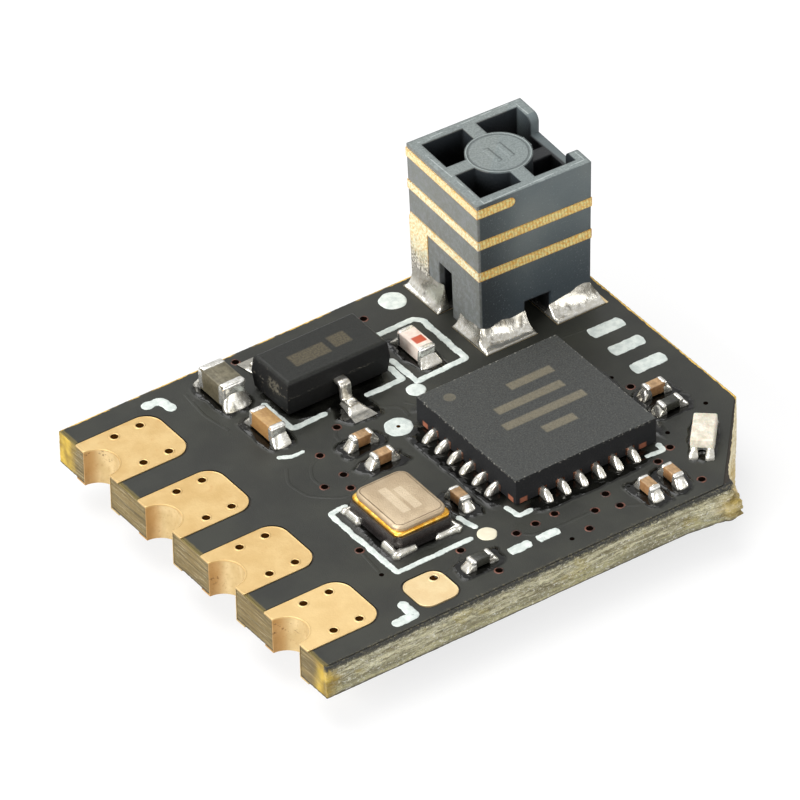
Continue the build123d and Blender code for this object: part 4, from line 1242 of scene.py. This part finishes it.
residue, at = start("dried_flux")
thick = rise(axes(at)[2] + noise(at, 5, 3) * 0.004, TOPSIDE + 0.003, TOPSIDE + 0.010)
tone = blend(thick, (38, 39, 33), blend(rise(noise(at, 3, 3), 0.35, 0.65), (5, 5, 4), (18, 18, 15)))
surface(
    at,
    Base_Color=tone,
    Roughness=0.52 - thick * 0.42,
    Specular_IOR_Level=0.4,
    Normal=relief(noise(at, 2.6, 2, 0.4) * thick, 0.07),
)


def pool(x, y, turn, length, width, seed):
    """A low pool with a wavering outline between an ellipse and a rectangle. Each ring is the outline drawn
    in by a share, at the height of a flat dome."""
    angle = np.linspace(0, 2 * np.pi, 96, endpoint=False)
    cos, sin = np.cos(angle), np.sin(angle)
    sway = 0.09 * waves(cos * 0.45, sin * 0.45, seed) + 0.05 * waves(cos * 1.3, sin * 1.3, seed + 1)
    rim = (1 + sway) / (np.abs(cos) ** 4 + np.abs(sin) ** 4) ** 0.25
    share = np.array([1.0, 0.96, 0.90, 0.82, 0.74, 0.6, 0.4, 0.1])[:, None]
    level = np.array([0.0, 0.16, 0.38, 0.64, 0.84, 1.0, 1.0, 1.0])[:, None] * 0.011
    px = share * rim * cos * length / 2
    py = share * rim * sin * width / 2
    return seat(skin(np.stack([px, py, level + 0 * px], axis=2)), x, y, turn)


# Place, turn, length, width and seed of the pools beside the crystal, the regulator and the lamp
WET_SPOTS = (
    (*RADIO_CRYSTAL, 0, 2.30, 2.72, 720),
    (REGULATOR[0], REGULATOR[1] - 1.35, 90, 1.3, 1.1, 730),
    (REGULATOR[0] - 0.1, REGULATOR[1] - 0.3, 0, 3.4, 1.9, 733),
    (*LAMP, 1.75, 0.85, 740),
)
pools = []
for index, (name, x, y, turn, (length, width, *_), *_) in enumerate(CHIPS):
    if not name.startswith("underside"):
        pools.append(pool(LEFT + x, FRONT + y, turn, length + 0.75, width + 0.5, 600 + 3 * index))
for index, turn in enumerate((0, 90, 180, 270)):
    c, s = np.cos(np.radians(turn)), np.sin(np.radians(turn))
    pools.append(pool(RADIO[0] + 2.15 * c, RADIO[1] + 2.15 * s, turn, 1.00, 3.9, 700 + 3 * index))
pools += [pool(*spot) for spot in WET_SPOTS]
make("flux_residue", "solder_mask", residue, pools)


# FLOOR, LIGHT AND CAMERA: a white table in a tent of white cloth, with four softboxes round it. The camera
# stands where the photograph was taken from.

TABLE_REACH = 0.6
TABLE_TOP = -5e-6
floor_mesh = bpy.data.meshes.new("table")
corners = [(sx * TABLE_REACH, sy * TABLE_REACH, TABLE_TOP) for sx, sy in ((-1, -1), (1, -1), (1, 1), (-1, 1))]
floor_mesh.from_pydata(corners, [], [(0, 1, 2, 3)])
floor = bpy.data.objects.new("table", floor_mesh)
bpy.context.scene.collection.objects.link(floor)
white = bpy.data.materials.new("white_table")
base = emptied(white)
paper = base.node("ShaderNodeBsdfDiffuse", inputs={"Color": (0.66, 0.66, 0.66, 1)})
seen = base.node("ShaderNodeLightPath", out="Is Camera Ray")
glow = base.node("ShaderNodeEmission", inputs={"Color": (1, 1, 1, 1), "Strength": 1.25})
both = base.node("ShaderNodeMixShader", inputs={0: seen * 0.6, 1: paper, 2: glow})
base.node("ShaderNodeOutputMaterial", inputs={"Surface": both})
floor_mesh.materials.append(white)

world = bpy.data.worlds.new("light_tent")
bpy.context.scene.world = world
base = emptied(world)
seen = base.node("ShaderNodeLightPath", out="Is Camera Ray")
gloss = base.node("ShaderNodeLightPath", out="Is Glossy Ray")
strength = 0.26 + seen * 0.74 + gloss * 0.44
tent = base.node("ShaderNodeBackground", inputs={"Color": (1, 1, 1, 1), "Strength": strength})
base.node("ShaderNodeOutputWorld", inputs={"Surface": tent})


def softbox(name, place, aim, size, power):
    """A square lamp that faces a point."""
    lamp = bpy.data.lights.new(name, "AREA")
    lamp.shape = "SQUARE"
    lamp.size = size
    lamp.energy = power
    box = bpy.data.objects.new(name, lamp)
    back = np.array(place, float) - np.array(aim, float)
    back /= np.linalg.norm(back)
    side = np.cross([0, 0, 1.0], back)
    side /= np.linalg.norm(side)
    turn = Matrix(np.column_stack([side, np.cross(back, side), back]).tolist()).to_4x4()
    box.matrix_world = Matrix.Translation(place) @ turn
    bpy.context.scene.collection.objects.link(box)


softbox("overhead_softbox", (-0.02, 0.08, 0.22), (0, 0, 0), 0.20, 0.44)
softbox("front_softbox", (0.05, -0.24, 0.12), (0, 0, 0.001), 0.12, 0.14)
softbox("left_softbox", (-0.25, -0.03, 0.10), (0, 0, 0.001), 0.18, 0.86)
softbox("right_softbox", (0.26, -0.16, 0.03), (0, 0, 0.001), 0.10, 0.16)

camera = bpy.data.cameras.new("camera")
camera.sensor_width = 36
camera.lens = 528.34
camera.clip_start = 0.01
camera.clip_end = 5
view = bpy.data.objects.new("camera", camera)
turn = Matrix(((0.81905, 0.36509, -0.44257), (-0.57326, 0.48996, -0.65674), (-0.02293, 0.79161, 0.61059)))
view.matrix_world = Matrix.Translation((-0.12136583, -0.17891219, 0.16973777)) @ turn.to_4x4()
bpy.context.scene.collection.objects.link(view)
bpy.context.scene.camera = view
bpy.context.scene.view_settings.view_transform = "Standard"
